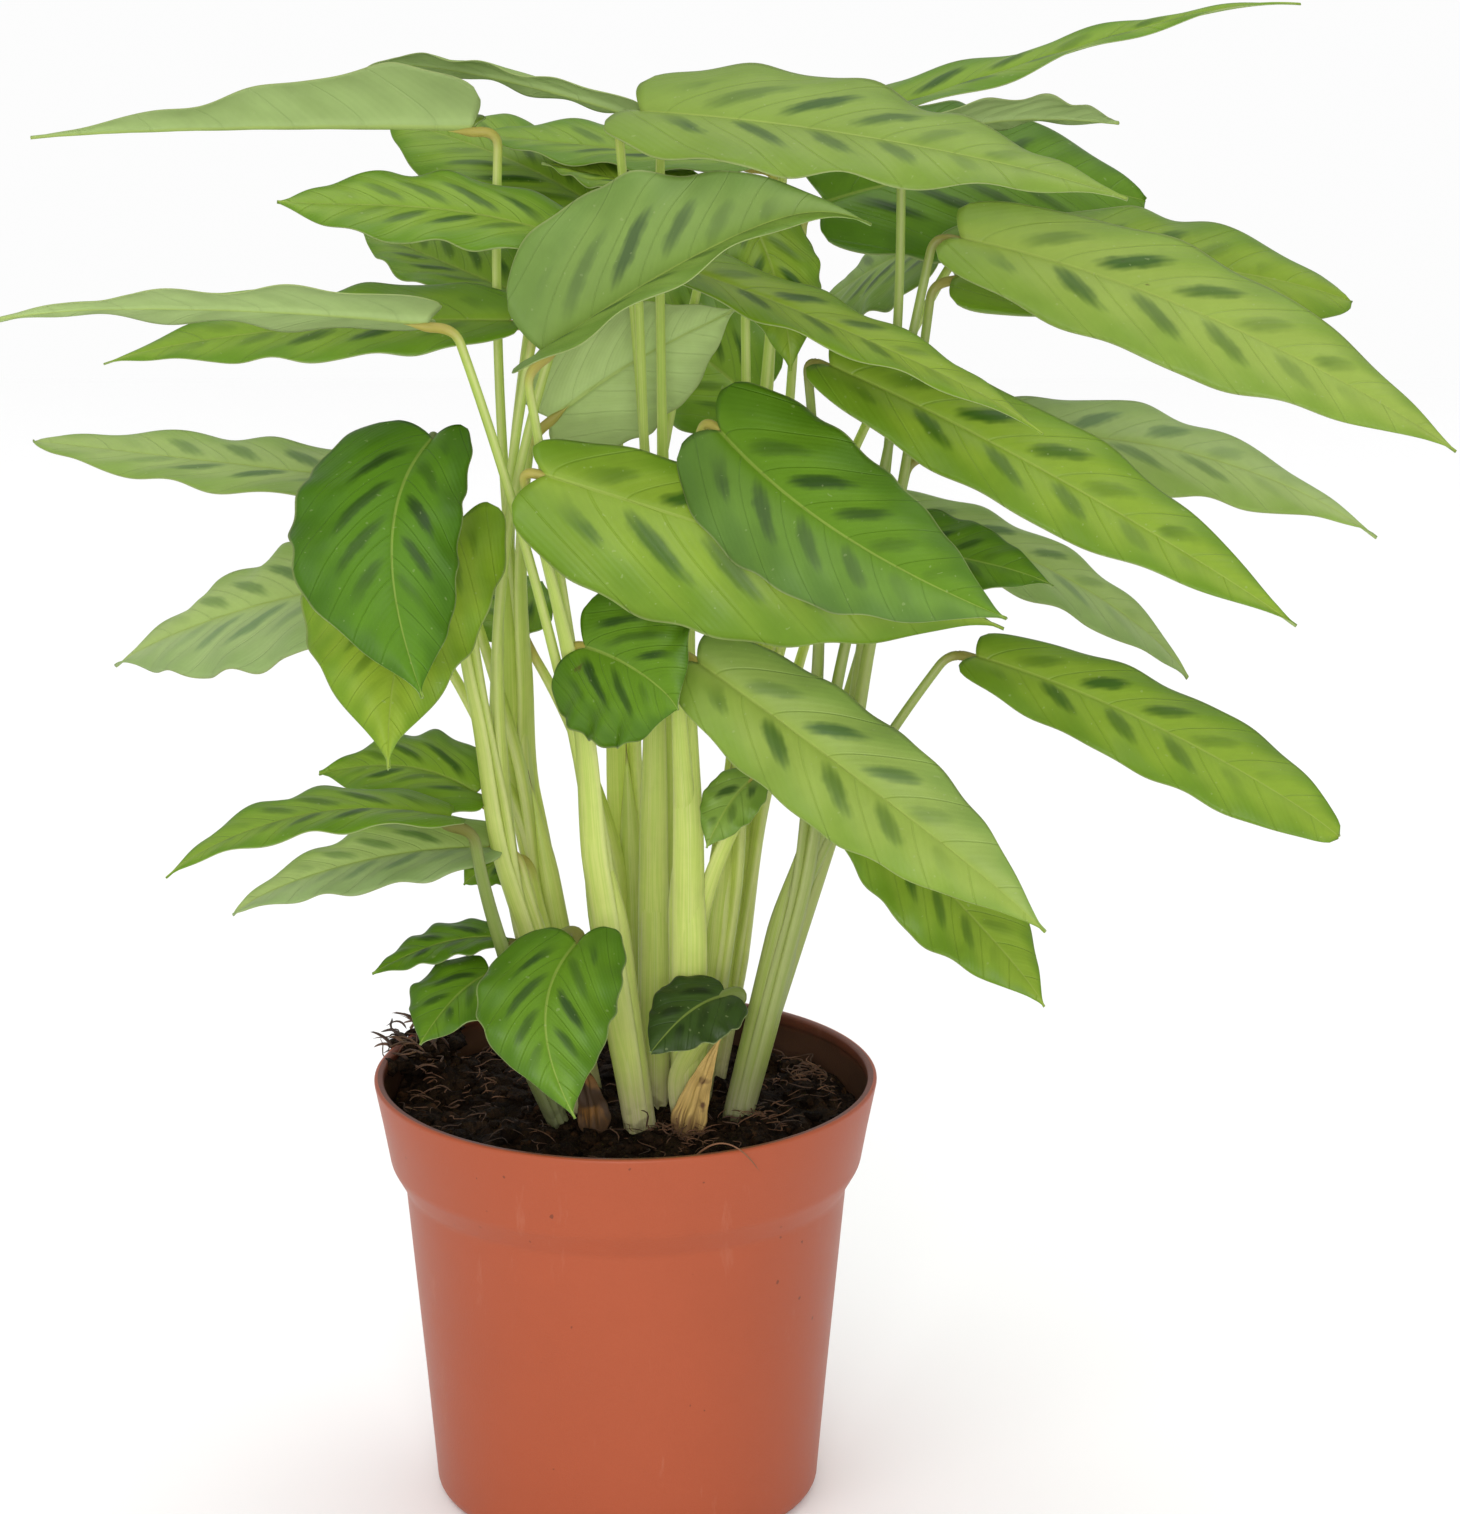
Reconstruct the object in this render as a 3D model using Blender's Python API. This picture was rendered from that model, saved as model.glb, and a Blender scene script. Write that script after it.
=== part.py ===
"""Potted calathea: a nursery pot and its root ball, eleven shoots, forty-five leaf blades
and two dead sheaths.

The frame has its origin at the centre of the pot's underside, +Z up, and the fuller
side of the foliage faces -Y. All sizes are millimetres, and MM turns them into metres.
A shoot is one solid: its sheathed stem and the leaf stalks that grow from it. A blade is
modelled flat along its own X, from its elbow at the origin to its tip, and is then moved
to its elbow and turned towards its tip.
"""

import math
from collections import namedtuple

import bmesh
import bpy
from mathutils import Euler, Vector

MM = 0.001
GAP = 0.3  # clearance between two pieces that touch
WELD = 0.00001  # metres; corners closer than this are one

# Pot: a tapered body, a step, a wider band and a thick lip
POT_RADIUS = 70.0
POT_HEIGHT = 122.0
POT_SIDES = 40
WALL = 1.4
LIP_THICKNESS = 2.8
LIP_HEIGHT = 3.0
LIP_CHAMFER = 0.8
BAND_FOOT_RADIUS = 65.4
BAND_FOOT_Z = 98.0
STEP_RADIUS = 61.4
STEP_Z = 91.0
BODY_FOOT_RADIUS = 53.6
BODY_FOOT_Z = 5.0
BASE_RADIUS = 49.0
FOOT_ROUND_STEPS = 3
FLOOR_THICKNESS = 2.0
DRAIN_RADIUS = 4.0
DRAIN_SIDES = 8
DRAIN_CIRCLE = 32.0
DRAIN_COUNT = 6

# Soil: fills the pot and is crowned in the middle
SOIL_CLEARANCE = 2 * GAP
SOIL_EDGE_Z = 110.0
SOIL_CROWN = 3.0
SOIL_CROWN_SHARES = (0.7, 0.35)
SOCKET_DEPTH = 13.0
SOCKET_LENGTH = 30.0

# Stems and stalks
STEM_SIDES = 8
STALK_RADIUS = 2.6
STALK_TIP_SHARE = 0.58
STALK_BOW = 0.45
STALK_STEPS = 5
ELBOW_STEPS = 3
ELBOW_REACH = 5.5
SEAT_LENGTH = 1.2
SEAT_GAP = 0.5

# Blades
BLADE_THICKNESS = 0.8
BLADE_ROWS = 6
BLADE_COLUMNS = 4
BASE_SHARE = 0.3
BASE_ROUNDNESS = 2.2
EAR_BACK = 0.2  # how far the outer base reaches back behind the elbow, as a share of the half-width
EAR_RISE = 0.1
EAR_LENGTH_POWER = 4
EAR_WIDTH_POWER = 8
TIP_HALF_WIDTH = 0.5
ARCH_LEAN = 0.4
HOOK_POWER = 8

SHARP_ANGLE = math.radians(40)

# Outline: how far along the blade it is widest, and how bluntly it falls to the tip.
OUTLINES = {
    "wedge": (0.18, 1.0),
    "lance": (0.29, 1.4),
    "heart": (0.3, 2.0),
    "oval": (0.36, 1.8),
    "spear": (0.45, 1.7),
    "blunt": (0.4, 2.6),
    "paddle": (0.46, 2.6),
    "spoon": (0.6, 2.4),
}

Material = namedtuple("Material", "name colour roughness")
TERRACOTTA = Material("terracotta_plastic", (0.46, 0.11, 0.055), 0.45)
PEAT = Material("peat_soil", (0.02, 0.012, 0.007), 0.95)
GREEN_STALK = Material("green_stalk", (0.44, 0.49, 0.16), 0.5)
GREEN_BLADE = Material("green_blade", (0.17, 0.32, 0.03), 0.45)
DRY_SHEATH = Material("papery_sheath", (0.32, 0.2, 0.06), 0.8)

# A stem: its foot (x, y), its top (x, y, z), and its radius at the foot and at the top.
Shoot = namedtuple("Shoot", "foot top radii")
SHOOTS = {
    "shoot_left": Shoot((-6, -6), (-32, -14, 195), (4.6, 3.6)),
    "shoot_front": Shoot((6, -17), (-5, -25, 200), (5.2, 4.0)),
    "shoot_centre": Shoot((17, -10), (15, -22, 205), (5.0, 4.0)),
    "shoot_right": Shoot((28, -9), (48, -16, 195), (4.8, 3.8)),
    "shoot_far_right": Shoot((28, 5), (57, 12, 200), (4.6, 3.6)),
    "shoot_middle": Shoot((18, 6), (30, 4, 215), (4.8, 3.8)),
    "shoot_inner": Shoot((8, 0), (8, 2, 220), (4.8, 3.8)),
    "shoot_back_left": Shoot((-8, 9), (-27, 18, 205), (4.6, 3.6)),
    "shoot_back": Shoot((5, 18), (0, 30, 210), (4.6, 3.6)),
    "shoot_back_right": Shoot((22, 20), (35, 34, 205), (4.6, 3.6)),
    "shoot_low_left": Shoot((-14, -10), (-30, -24, 150), (3.4, 2.6)),
}

# A leaf: its shoot and how far up the stem its stalk leaves, its elbow and tip, its width,
# its roll about its own length in degrees, its trough and cup (how its halves rise from
# the midrib and fall to the edge), arch and hook (rise of the midrib in the middle and
# before the tip), sway (sideways bow), outline, and how lopsided its halves are.
Leaf = namedtuple(
    "Leaf", "shoot start elbow tip width roll trough cup arch hook sway outline lopsided", defaults=(0.0,)
)
LEAVES = {
    "leaf_01": Leaf("back_left", 0.7, (-40, 20, 385), (-160, 30, 380), 29, 36, 0.9, 0.2, 1, 1, 0, "wedge"),
    "leaf_02": Leaf("inner", 0.9, (5, 10, 390), (-75, 60, 390), 24, 28, 0.3, 0.3, 2, 8, 0, "oval"),
    "leaf_03": Leaf("inner", 0.7, (5, -10, 395), (130, -75, 385), 50, 20, 0.3, 0.3, 3, 2, 0, "lance"),
    "leaf_04": Leaf("middle", 0.9, (50, 30, 380), (180, 5, 421), 34, 8, 0.3, 0.2, 1, 6, 0, "wedge"),
    "leaf_05": Leaf("back_right", 0.8, (55, 40, 360), (145, 85, 351), 52, 44, 0.2, 0.3, 7, 0, 0, "paddle"),
    "leaf_06": Leaf("far_right", 0.8, (80, 10, 385), (135, 50, 380), 28, -28, 0.3, 0.2, 3, 0, 0, "oval"),
    "leaf_07": Leaf("right", 0.8, (90, -5, 360), (220, -40, 310), 40, 36, 0.2, 0.3, 6, 2, 0, "spear"),
    "leaf_08": Leaf("far_right", 0.9, (90, 15, 345), (200, 50, 330), 46, 32, 0.2, 0.3, 6, 2, 0, "paddle"),
    "leaf_09": Leaf("right", 0.75, (55, -25, 330), (175, -85, 275), 34, 32, 0.3, 0.3, 3, 1, 0, "spear"),
    "leaf_10": Leaf("inner", 0.5, (10, -10, 355), (110, -60, 320), 28, 8, 0.2, 0.2, 2, 3, 0, "oval"),
    "leaf_11": Leaf("far_right", 0.7, (85, 40, 290), (210, 60, 260), 36, 28, 0.2, 0.3, 12, 3, 0, "spear"),
    "leaf_12": Leaf("back_right", 0.4, (70, 60, 267), (159, 75, 215), 30, 28, 0.2, 0.3, 7, 4, 0, "blunt"),
    "leaf_13": Leaf("middle", 0.5, (60, 2, 275), (115, -28, 270), 26, 40, 0.2, 0.2, 1, 2, 0, "oval"),
    "leaf_14": Leaf("right", 0.4, (95, -15, 247), (190, -60, 210), 29, 34, 0.2, 0.3, 4, 2, 0, "spoon"),
    "leaf_15": Leaf("centre", 0.9, (26, -40, 316), (99, -110, 284), 44, 48, 0.25, 0.35, -3, 0, -5, "heart"),
    "leaf_16": Leaf(
        "front", 0.9, (-20, -45, 305), (100, -70, 270), 42, 58, -0.2, 0.2, 1, 2, -2, "oval", 0.25
    ),
    "leaf_17": Leaf("front", 0.6, (-10, -35, 255), (15, -60, 245), 46, 66, 0.2, 0.3, 2, 2, 0, "blunt"),
    "leaf_18": Leaf("centre", 0.6, (20, -45, 254), (110, -110, 200), 35, 42, 0.2, 0.3, 1, 2, 0, "spear"),
    "leaf_19": Leaf("right", 0.6, (65, -20, 206), (113, -55, 161), 33, 28, 0.2, 0.3, 1, 2, 0, "spear"),
    "leaf_20": Leaf(
        "left", 0.9, (-50, -25, 310), (-50, -100, 260), 44, -8, 0.2, 0.3, 8, 3, -9, "paddle", 0.2
    ),
    "leaf_21": Leaf("left", 0.7, (-45, -25, 285), (-60, -80, 235), 50, -10, 0.2, 0.3, 6, 3, -3, "heart", 0.2),
    "leaf_22": Leaf("back_left", 0.5, (-70, 30, 255), (-145, 70, 220), 48, -35, 0.2, 0.3, 3, 2, 0, "oval"),
    "leaf_23": Leaf("back_left", 0.6, (-60, 20, 286), (-165, 60, 288), 33, -13, 0.2, 0.2, 0, 0, 0, "blunt"),
    "leaf_24": Leaf("front", 0.5, (-50, -40, 345), (-160, -60, 350), 32, 30, 0.3, 0.3, 2, 3, 0, "lance"),
    "leaf_25": Leaf("left", 0.6, (-30, 5, 335), (-140, 10, 322), 32, -26, 0.2, 0.2, 3, 2, 0, "oval"),
    "leaf_26": Leaf("left", 0.8, (-15, -5, 360), (-90, -20, 373), 36, -22, 0.3, 0.3, 4, -2, 0, "blunt"),
    "leaf_27": Leaf("front", 0.7, (-20, -35, 335), (65, -60, 375), 48, 41, 0.9, 0.2, 3, 12, 0, "lance"),
    "leaf_28": Leaf("back", 0.7, (-5, 50, 355), (-65, 80, 375), 42, -20, 0.2, 0.3, 3, 0, 0, "blunt"),
    "leaf_29": Leaf("back_right", 0.6, (35, 45, 370), (-40, 60, 375), 34, -10, 0.3, 0.2, 0, 0, 0, "blunt"),
    "leaf_30": Leaf("back", 0.5, (20, 25, 365), (-22, 45, 370), 26, -8, 0.3, 0.2, 0, 0, 0, "oval"),
    "leaf_31": Leaf("back_left", 0.9, (-30, 40, 335), (-75, 80, 345), 32, -15, 0.3, 0.2, 0, 0, 0, "oval"),
    "leaf_32": Leaf("back_right", 0.7, (90, 60, 345), (55, 110, 315), 38, -48, 0.2, 0.3, 3, 0, 0, "oval"),
    "leaf_33": Leaf("middle", 0.6, (35, 15, 360), (45, -10, 325), 26, 5, 0.3, 0.3, 4, 3, 0, "oval"),
    "leaf_34": Leaf("back_left", 0.9, (-20, 17, 305), (30, 17, 335), 40, -76, 0.2, 0.3, 2, 0, 0, "oval"),
    "leaf_35": Leaf("back_right", 0.5, (35, 60, 300), (-10, 100, 320), 42, -50, 0.2, 0.3, 3, 0, 0, "oval"),
    "leaf_37": Leaf("back", 0.4, (-28, 30, 240), (-42, 60, 250), 24, -20, 0.3, 0.3, 2, 0, 0, "oval"),
    "leaf_38": Leaf("left", 0.3, (-40, -9, 206), (-83, -4, 210), 36, -18, 0.3, 0.3, 5, 0, 0, "oval"),
    "leaf_39": Leaf("low_left", 0.9, (-46, -40, 208), (-120, -65, 200), 30, -5, 0.3, 0.3, 8, 3, 0, "oval"),
    "leaf_40": Leaf("left", 0.15, (-36, -13, 192), (-106, -20, 175), 30, -17, 0.3, 0.3, 4, 3, 0, "oval"),
    "leaf_41": Leaf("left", 0.25, (-33, 6, 182), (-44, 1, 177), 16, -24, 0.3, 0.3, 1, 0, 0, "oval"),
    "leaf_42": Leaf("low_left", 0.5, (-34, -16, 167), (-68, -26, 160), 20, -10, 0.3, 0.3, 3, 0, 0, "oval"),
    "leaf_43": Leaf("low_left", 0.7, (-36, -29, 161), (-54, -55, 150), 30, 0, 0.3, 0.3, 3, 0, 0, "oval"),
    "leaf_44": Leaf("low_left", 0.8, (-12, -50, 177), (-12, -85, 140), 38, 0, 0.2, 0.3, 6, 2, -8, "oval"),
    "leaf_45": Leaf("centre", 0.1, (28, -30, 155), (8, -48, 145), 24, -25, 0.2, 0.3, 3, 0, 0, "oval"),
    "leaf_46": Leaf("centre", 0.4, (35, -25, 215), (23, -38, 200), 16, -26, 0.3, 0.3, 2, 0, 0, "oval"),
}

# Dead sheaths that stand on the soil and lean on the stems: shaped as leaves are.
SHEATHS = {
    "dry_sheath": Leaf("", 0, (17, -23, 114), (27, -26, 143), 9.5, -78, 0.5, 0.2, 1, 0, 0, "wedge"),
    "brown_sheath": Leaf("", 0, (-9, -20, 114), (-13, -22, 136), 9, 60, 0.5, 0.2, 1, 0, 0, "wedge"),
}


def make_material(material):
    """A Principled material, made once for each name."""
    made = bpy.data.materials.get(material.name) or bpy.data.materials.new(material.name)
    made.use_nodes = True
    shader = made.node_tree.nodes["Principled BSDF"]
    shader.inputs["Base Color"].default_value = (*material.colour, 1.0)
    shader.inputs["Roughness"].default_value = material.roughness
    shader.inputs["Metallic"].default_value = 0.0
    return made


def add_object(name, shape, material, place=(0.0, 0.0, 0.0), turn=(0.0, 0.0, 0.0)):
    """A smooth-shaded object from a bmesh in millimetres, at its place and turned."""
    bmesh.ops.scale(shape, vec=(MM, MM, MM), verts=shape.verts)
    mesh = bpy.data.meshes.new(name)
    shape.to_mesh(mesh)
    shape.free()
    mesh.shade_smooth()
    mesh.set_sharp_from_angle(angle=SHARP_ANGLE)
    mesh.materials.append(make_material(material))
    made = bpy.data.objects.new(name, mesh)
    made.location = Vector(place) * MM
    made.rotation_euler = turn
    bpy.context.scene.collection.objects.link(made)
    return made


def spin_profile(profile):
    """Closed solid spun about Z from (radius, z) points that start and end on the axis."""
    shape = bmesh.new()
    corners = [shape.verts.new((radius, 0.0, z)) for radius, z in profile]
    edges = [shape.edges.new(pair) for pair in zip(corners, corners[1:])]
    bmesh.ops.spin(
        shape,
        geom=corners + edges,
        cent=(0.0, 0.0, 0.0),
        axis=(0.0, 0.0, 1.0),
        angle=math.tau,
        steps=POT_SIDES,
        use_merge=True,
    )
    bmesh.ops.remove_doubles(shape, verts=shape.verts, dist=WELD / MM)
    bmesh.ops.recalc_face_normals(shape, faces=shape.faces)
    return shape


def cone_on_origin(sides, foot_radius, top_radius, length):
    """Closed frustum along Z with its foot at the origin."""
    shape = bmesh.new()
    bmesh.ops.create_cone(
        shape, cap_ends=True, segments=sides, radius1=foot_radius, radius2=top_radius, depth=length
    )
    bmesh.ops.translate(shape, vec=(0.0, 0.0, length / 2.0), verts=shape.verts)
    return shape


def add_boolean(target, tool, operation):
    """Cuts or joins a tool, which is kept as a hidden guide."""
    tool.hide_render = True
    tool.display_type = "WIRE"
    modifier = target.modifiers.new(tool.name, "BOOLEAN")
    modifier.operation = operation
    modifier.object = tool
    modifier.solver = "EXACT"


def between(z, low, high):
    """The radius at height z on the straight line between two (radius, z) points."""
    return low[0] + (high[0] - low[0]) * (z - low[1]) / (high[1] - low[1])


def inner_radius(z):
    """Radius of the pot's inner wall, one cone under the step and another above it."""
    body_foot, step = (BODY_FOOT_RADIUS, BODY_FOOT_Z), (STEP_RADIUS, STEP_Z)
    band_foot, rim = (BAND_FOOT_RADIUS, BAND_FOOT_Z), (POT_RADIUS, POT_HEIGHT)
    if z < STEP_Z:
        return between(z, body_foot, step) - WALL
    if z < BAND_FOOT_Z:
        return between(z, step, band_foot) - WALL
    return between(z, band_foot, rim) - WALL


def pot_profile():
    """Underside, rounded foot, body, step, band, lip, and back down the inner wall."""
    lip_inner = POT_RADIUS - LIP_THICKNESS
    lip_foot = POT_HEIGHT - LIP_HEIGHT
    profile = [(0.0, 0.0)]
    for k in range(FOOT_ROUND_STEPS + 1):
        angle = k * math.pi / 2.0 / FOOT_ROUND_STEPS
        radius = BASE_RADIUS + (BODY_FOOT_RADIUS - BASE_RADIUS) * math.sin(angle)
        profile.append((radius, BODY_FOOT_Z * (1.0 - math.cos(angle))))
    profile += [
        (STEP_RADIUS, STEP_Z),
        (BAND_FOOT_RADIUS, BAND_FOOT_Z),
        (POT_RADIUS, POT_HEIGHT - LIP_CHAMFER),
        (POT_RADIUS - LIP_CHAMFER, POT_HEIGHT),
        (lip_inner + LIP_CHAMFER, POT_HEIGHT),
        (lip_inner, POT_HEIGHT - LIP_CHAMFER),
        (inner_radius(lip_foot), lip_foot),
    ]
    profile += [(inner_radius(z), z) for z in (BAND_FOOT_Z, STEP_Z, BODY_FOOT_Z)]
    profile += [(BASE_RADIUS - WALL, FLOOR_THICKNESS), (0.0, FLOOR_THICKNESS)]
    return profile


def make_pot():
    """Thin spun pot with a ring of drain holes through its floor."""
    pot = add_object("pot", spin_profile(pot_profile()), TERRACOTTA)
    for k in range(DRAIN_COUNT):
        angle = (k + 0.5) * math.tau / DRAIN_COUNT
        place = (math.cos(angle) * DRAIN_CIRCLE, math.sin(angle) * DRAIN_CIRCLE, -FLOOR_THICKNESS)
        shape = cone_on_origin(DRAIN_SIDES, DRAIN_RADIUS, DRAIN_RADIUS, 3 * FLOOR_THICKNESS)
        add_boolean(pot, add_object(f"drain_tool_{k + 1}", shape, TERRACOTTA, place), "DIFFERENCE")


def soil_profile():
    """Root ball that follows the pot's inner wall, under a crown: 1 - share squared."""
    foot_z = FLOOR_THICKNESS + GAP
    profile = [(0.0, foot_z), (BASE_RADIUS - WALL - SOIL_CLEARANCE, foot_z)]
    for z in (BODY_FOOT_Z + GAP, STEP_Z, BAND_FOOT_Z, SOIL_EDGE_Z):
        profile.append((inner_radius(z) - SOIL_CLEARANCE, z))
    edge = profile[-1][0]
    for share in SOIL_CROWN_SHARES:
        profile.append((edge * share, SOIL_EDGE_Z + SOIL_CROWN * (1.0 - share**2)))
    return profile + [(0.0, SOIL_EDGE_Z + SOIL_CROWN)]


def stem_ends(shoot):
    """Foot and top of a stem's straight axis; the foot is sunk into the soil."""
    foot_z = SOIL_EDGE_Z + SOIL_CROWN - SOCKET_DEPTH
    return Vector((*shoot.foot, foot_z)), Vector(shoot.top)


def stem_turn(shoot):
    """Rotation that turns +Z along a stem's axis."""
    foot, top = stem_ends(shoot)
    return (top - foot).to_track_quat("Z", "Y").to_euler()


def make_soil():
    """Root ball with a socket for each stem."""
    soil = add_object("soil", spin_profile(soil_profile()), PEAT)
    for name, shoot in SHOOTS.items():
        foot, top = stem_ends(shoot)
        radius = shoot.radii[0] + GAP
        place = foot - (top - foot).normalized() * GAP
        shape = cone_on_origin(STEM_SIDES, radius, radius, SOCKET_LENGTH)
        tool = add_object(f"{name}_socket_tool", shape, PEAT, place, stem_turn(shoot))
        add_boolean(soil, tool, "DIFFERENCE")


def blade_turn(leaf):
    """Rotation that turns +X from the elbow to the tip, with +Y kept level."""
    way = Vector(leaf.tip) - Vector(leaf.elbow)
    rise = math.asin(way.z / way.length)
    return Euler((0.0, -rise, math.atan2(way.y, way.x)))


def blade_length(leaf):
    """Straight distance from the elbow to the tip."""
    return (Vector(leaf.tip) - Vector(leaf.elbow)).length


def local_heading(leaf):
    """Direction of the midrib's first slope in the blade's own frame, less its sway."""
    slope = 4.0 * leaf.arch * (1.0 + ARCH_LEAN / 2.0) + leaf.hook
    return Vector((blade_length(leaf), 0.0, slope)).normalized()


def half_width_share(outline, s):
    """Outline: a quarter-oval rise to the widest place, then a fall to a pointed tip."""
    widest, bluntness = OUTLINES[outline]
    if s < widest:
        rise = math.sqrt(1.0 - (1.0 - s / widest) ** BASE_ROUNDNESS)
        return BASE_SHARE + (1.0 - BASE_SHARE) * rise
    return 1.0 - ((s - widest) / (1.0 - widest)) ** bluntness


def blade_point(leaf, s, t):
    """Point at s along the midrib and t across (-1 to 1), in the blade's own frame: the
    midrib's arch, hook and sway, plus the halves' trough * |t| - cup * t squared, rolled.
    At the base the outer part of each half also reaches back and up, as an ear."""
    bow = 4.0 * s * (1.0 - s)
    rise = leaf.arch * bow * (1.0 + ARCH_LEAN * (0.5 - s)) + leaf.hook * s * (1.0 - s**HOOK_POWER)
    half = max(leaf.width / 2.0 * half_width_share(leaf.outline, s), TIP_HALF_WIDTH)
    half *= 1.0 - math.copysign(leaf.lopsided, t)
    ear = leaf.width / 2.0 * abs(t) ** EAR_WIDTH_POWER * (1.0 - s) ** EAR_LENGTH_POWER
    lift = half * (leaf.trough * abs(t) - leaf.cup * t * t)
    fold = Vector((-EAR_BACK * ear, half * t, lift + EAR_RISE * ear))
    fold.rotate(Euler((math.radians(leaf.roll), 0.0, 0.0)))
    point = Vector((blade_length(leaf) * s, leaf.sway * bow, rise)) + fold
    return point + local_heading(leaf) * SEAT_GAP


def make_blade(name, leaf, material):
    """A grid bent into the blade's shape and thickened by a Solidify modifier."""
    shape = bmesh.new()
    bmesh.ops.create_grid(shape, x_segments=BLADE_ROWS, y_segments=BLADE_COLUMNS, size=1.0)
    for corner in shape.verts:
        corner.co = blade_point(leaf, (corner.co.x + 1.0) / 2.0, corner.co.y)
    blade = add_object(name, shape, material, leaf.elbow, blade_turn(leaf))
    solidify = blade.modifiers.new("thickness", "SOLIDIFY")
    solidify.thickness = BLADE_THICKNESS * MM
    solidify.offset = 0.0


def quadratic(start, control, end, steps):
    """Points of a quadratic Bezier curve, without its first point."""
    points = []
    for k in range(1, steps + 1):
        u = k / steps
        points.append(start * (1 - u) ** 2 + control * 2 * u * (1 - u) + end * u * u)
    return points


def stalk_points(leaf):
    """From a point inside the stem up to the knee in one bow, then round the elbow."""
    foot, top = stem_ends(SHOOTS[f"shoot_{leaf.shoot}"])
    start = foot.lerp(top, leaf.start)
    elbow = Vector(leaf.elbow)
    heading = blade_turn(leaf).to_matrix() @ local_heading(leaf)
    seat = elbow - heading * SEAT_LENGTH
    corner = seat - heading * ELBOW_REACH
    control = start + (top - foot).normalized() * (corner - start).length * STALK_BOW
    knee = corner - (corner - control).normalized() * ELBOW_REACH
    rise = quadratic(start, control, knee, STALK_STEPS)
    bend = quadratic(knee, corner, seat, ELBOW_STEPS)
    return [start] + rise + bend + [elbow]


def make_stalk(name, leaf):
    """A bevelled curve with filled caps along the stalk, turned into a welded mesh."""
    points = stalk_points(leaf)
    curve = bpy.data.curves.new(name, "CURVE")
    curve.dimensions = "3D"
    curve.bevel_depth = STALK_RADIUS
    curve.bevel_resolution = 1
    curve.use_fill_caps = True
    spline = curve.splines.new("POLY")
    spline.points.add(len(points) - 1)
    for k, (place, point) in enumerate(zip(points, spline.points)):
        point.co = (*(place - points[0]), 1.0)
        point.radius = 1.0 - (1.0 - STALK_TIP_SHARE) * k / (len(points) - 1)
    guide = bpy.data.objects.new(name, curve)
    shape = bmesh.new()
    shape.from_mesh(bpy.data.meshes.new_from_object(guide))
    bpy.data.objects.remove(guide)
    bmesh.ops.remove_doubles(shape, verts=shape.verts, dist=WELD / MM)
    bmesh.ops.recalc_face_normals(shape, faces=shape.faces)
    return add_object(name, shape, GREEN_STALK, points[0])


def make_shoot(name, shoot):
    """Sheathed stem with its stalks joined on."""
    foot, top = stem_ends(shoot)
    shape = cone_on_origin(STEM_SIDES, *shoot.radii, (top - foot).length)
    stem = add_object(name, shape, GREEN_STALK, foot, stem_turn(shoot))
    for key, leaf in LEAVES.items():
        if f"shoot_{leaf.shoot}" == name:
            add_boolean(stem, make_stalk(f"{key}_stalk", leaf), "UNION")


def clear_scene():
    """Removes every object that the file starts with."""
    for item in list(bpy.data.objects):
        bpy.data.objects.remove(item)


def main():
    clear_scene()
    make_pot()
    make_soil()
    for name, shoot in SHOOTS.items():
        make_shoot(name, shoot)
    for name, leaf in LEAVES.items():
        make_blade(name, leaf, GREEN_BLADE)
    for name, sheath in SHEATHS.items():
        make_blade(name, sheath, DRY_SHEATH)


main()
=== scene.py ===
"""Looks for the potted calathea: pot, soil, sheathed stems, patterned blades and a plain studio.

The file is laid out as a Blender add-on and is run as a script. Shapes are worked out in
millimetres and turned into metres when they become meshes. Every piece is an object at the
origin with its place in its mesh.
"""

import math
from collections import namedtuple

import bmesh
import bpy
import numpy as np
from bpy.props import FloatProperty, FloatVectorProperty, IntProperty, PointerProperty
from mathutils import Euler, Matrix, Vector


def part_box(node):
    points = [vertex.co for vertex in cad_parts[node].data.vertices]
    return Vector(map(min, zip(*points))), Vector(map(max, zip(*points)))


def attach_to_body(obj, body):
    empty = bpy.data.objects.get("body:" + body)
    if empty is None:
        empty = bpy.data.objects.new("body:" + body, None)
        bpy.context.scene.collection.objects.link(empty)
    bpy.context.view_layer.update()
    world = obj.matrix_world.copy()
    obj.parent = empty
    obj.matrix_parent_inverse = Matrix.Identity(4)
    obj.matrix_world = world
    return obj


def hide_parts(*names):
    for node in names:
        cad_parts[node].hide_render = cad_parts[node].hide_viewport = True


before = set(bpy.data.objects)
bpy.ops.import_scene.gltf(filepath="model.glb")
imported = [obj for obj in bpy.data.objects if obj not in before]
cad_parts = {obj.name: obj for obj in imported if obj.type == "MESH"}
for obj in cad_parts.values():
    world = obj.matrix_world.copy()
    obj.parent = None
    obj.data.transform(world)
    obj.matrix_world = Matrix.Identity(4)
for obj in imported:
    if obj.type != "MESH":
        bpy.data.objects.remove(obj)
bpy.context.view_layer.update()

bl_info = {
    "name": "Potted calathea",
    "version": (1, 0, 0),
    "blender": (4, 5, 0),
    "location": "3D Viewport > Sidebar > Calathea",
    "description": "Builds the visible pieces of a potted calathea around its CAD frame",
    "category": "Add Mesh",
}

MM = 0.001
WELD = 0.000002  # metres; corners closer than this are one
BODY = "root"

# Studio, in metres, with every lamp turned to one target
BACKDROP = 0.98  # brightness of the surroundings where the camera sees them directly
FLOOR_REACH = 1.35
LAMP_TARGET = (0.0, 0.0, 0.2)
CAMERA_PLACE = (0.029, -1.697, 0.723)
CAMERA_TILT = 73.3  # degrees up from straight down
SENSOR_WIDTH = 36.0  # millimetres

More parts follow.
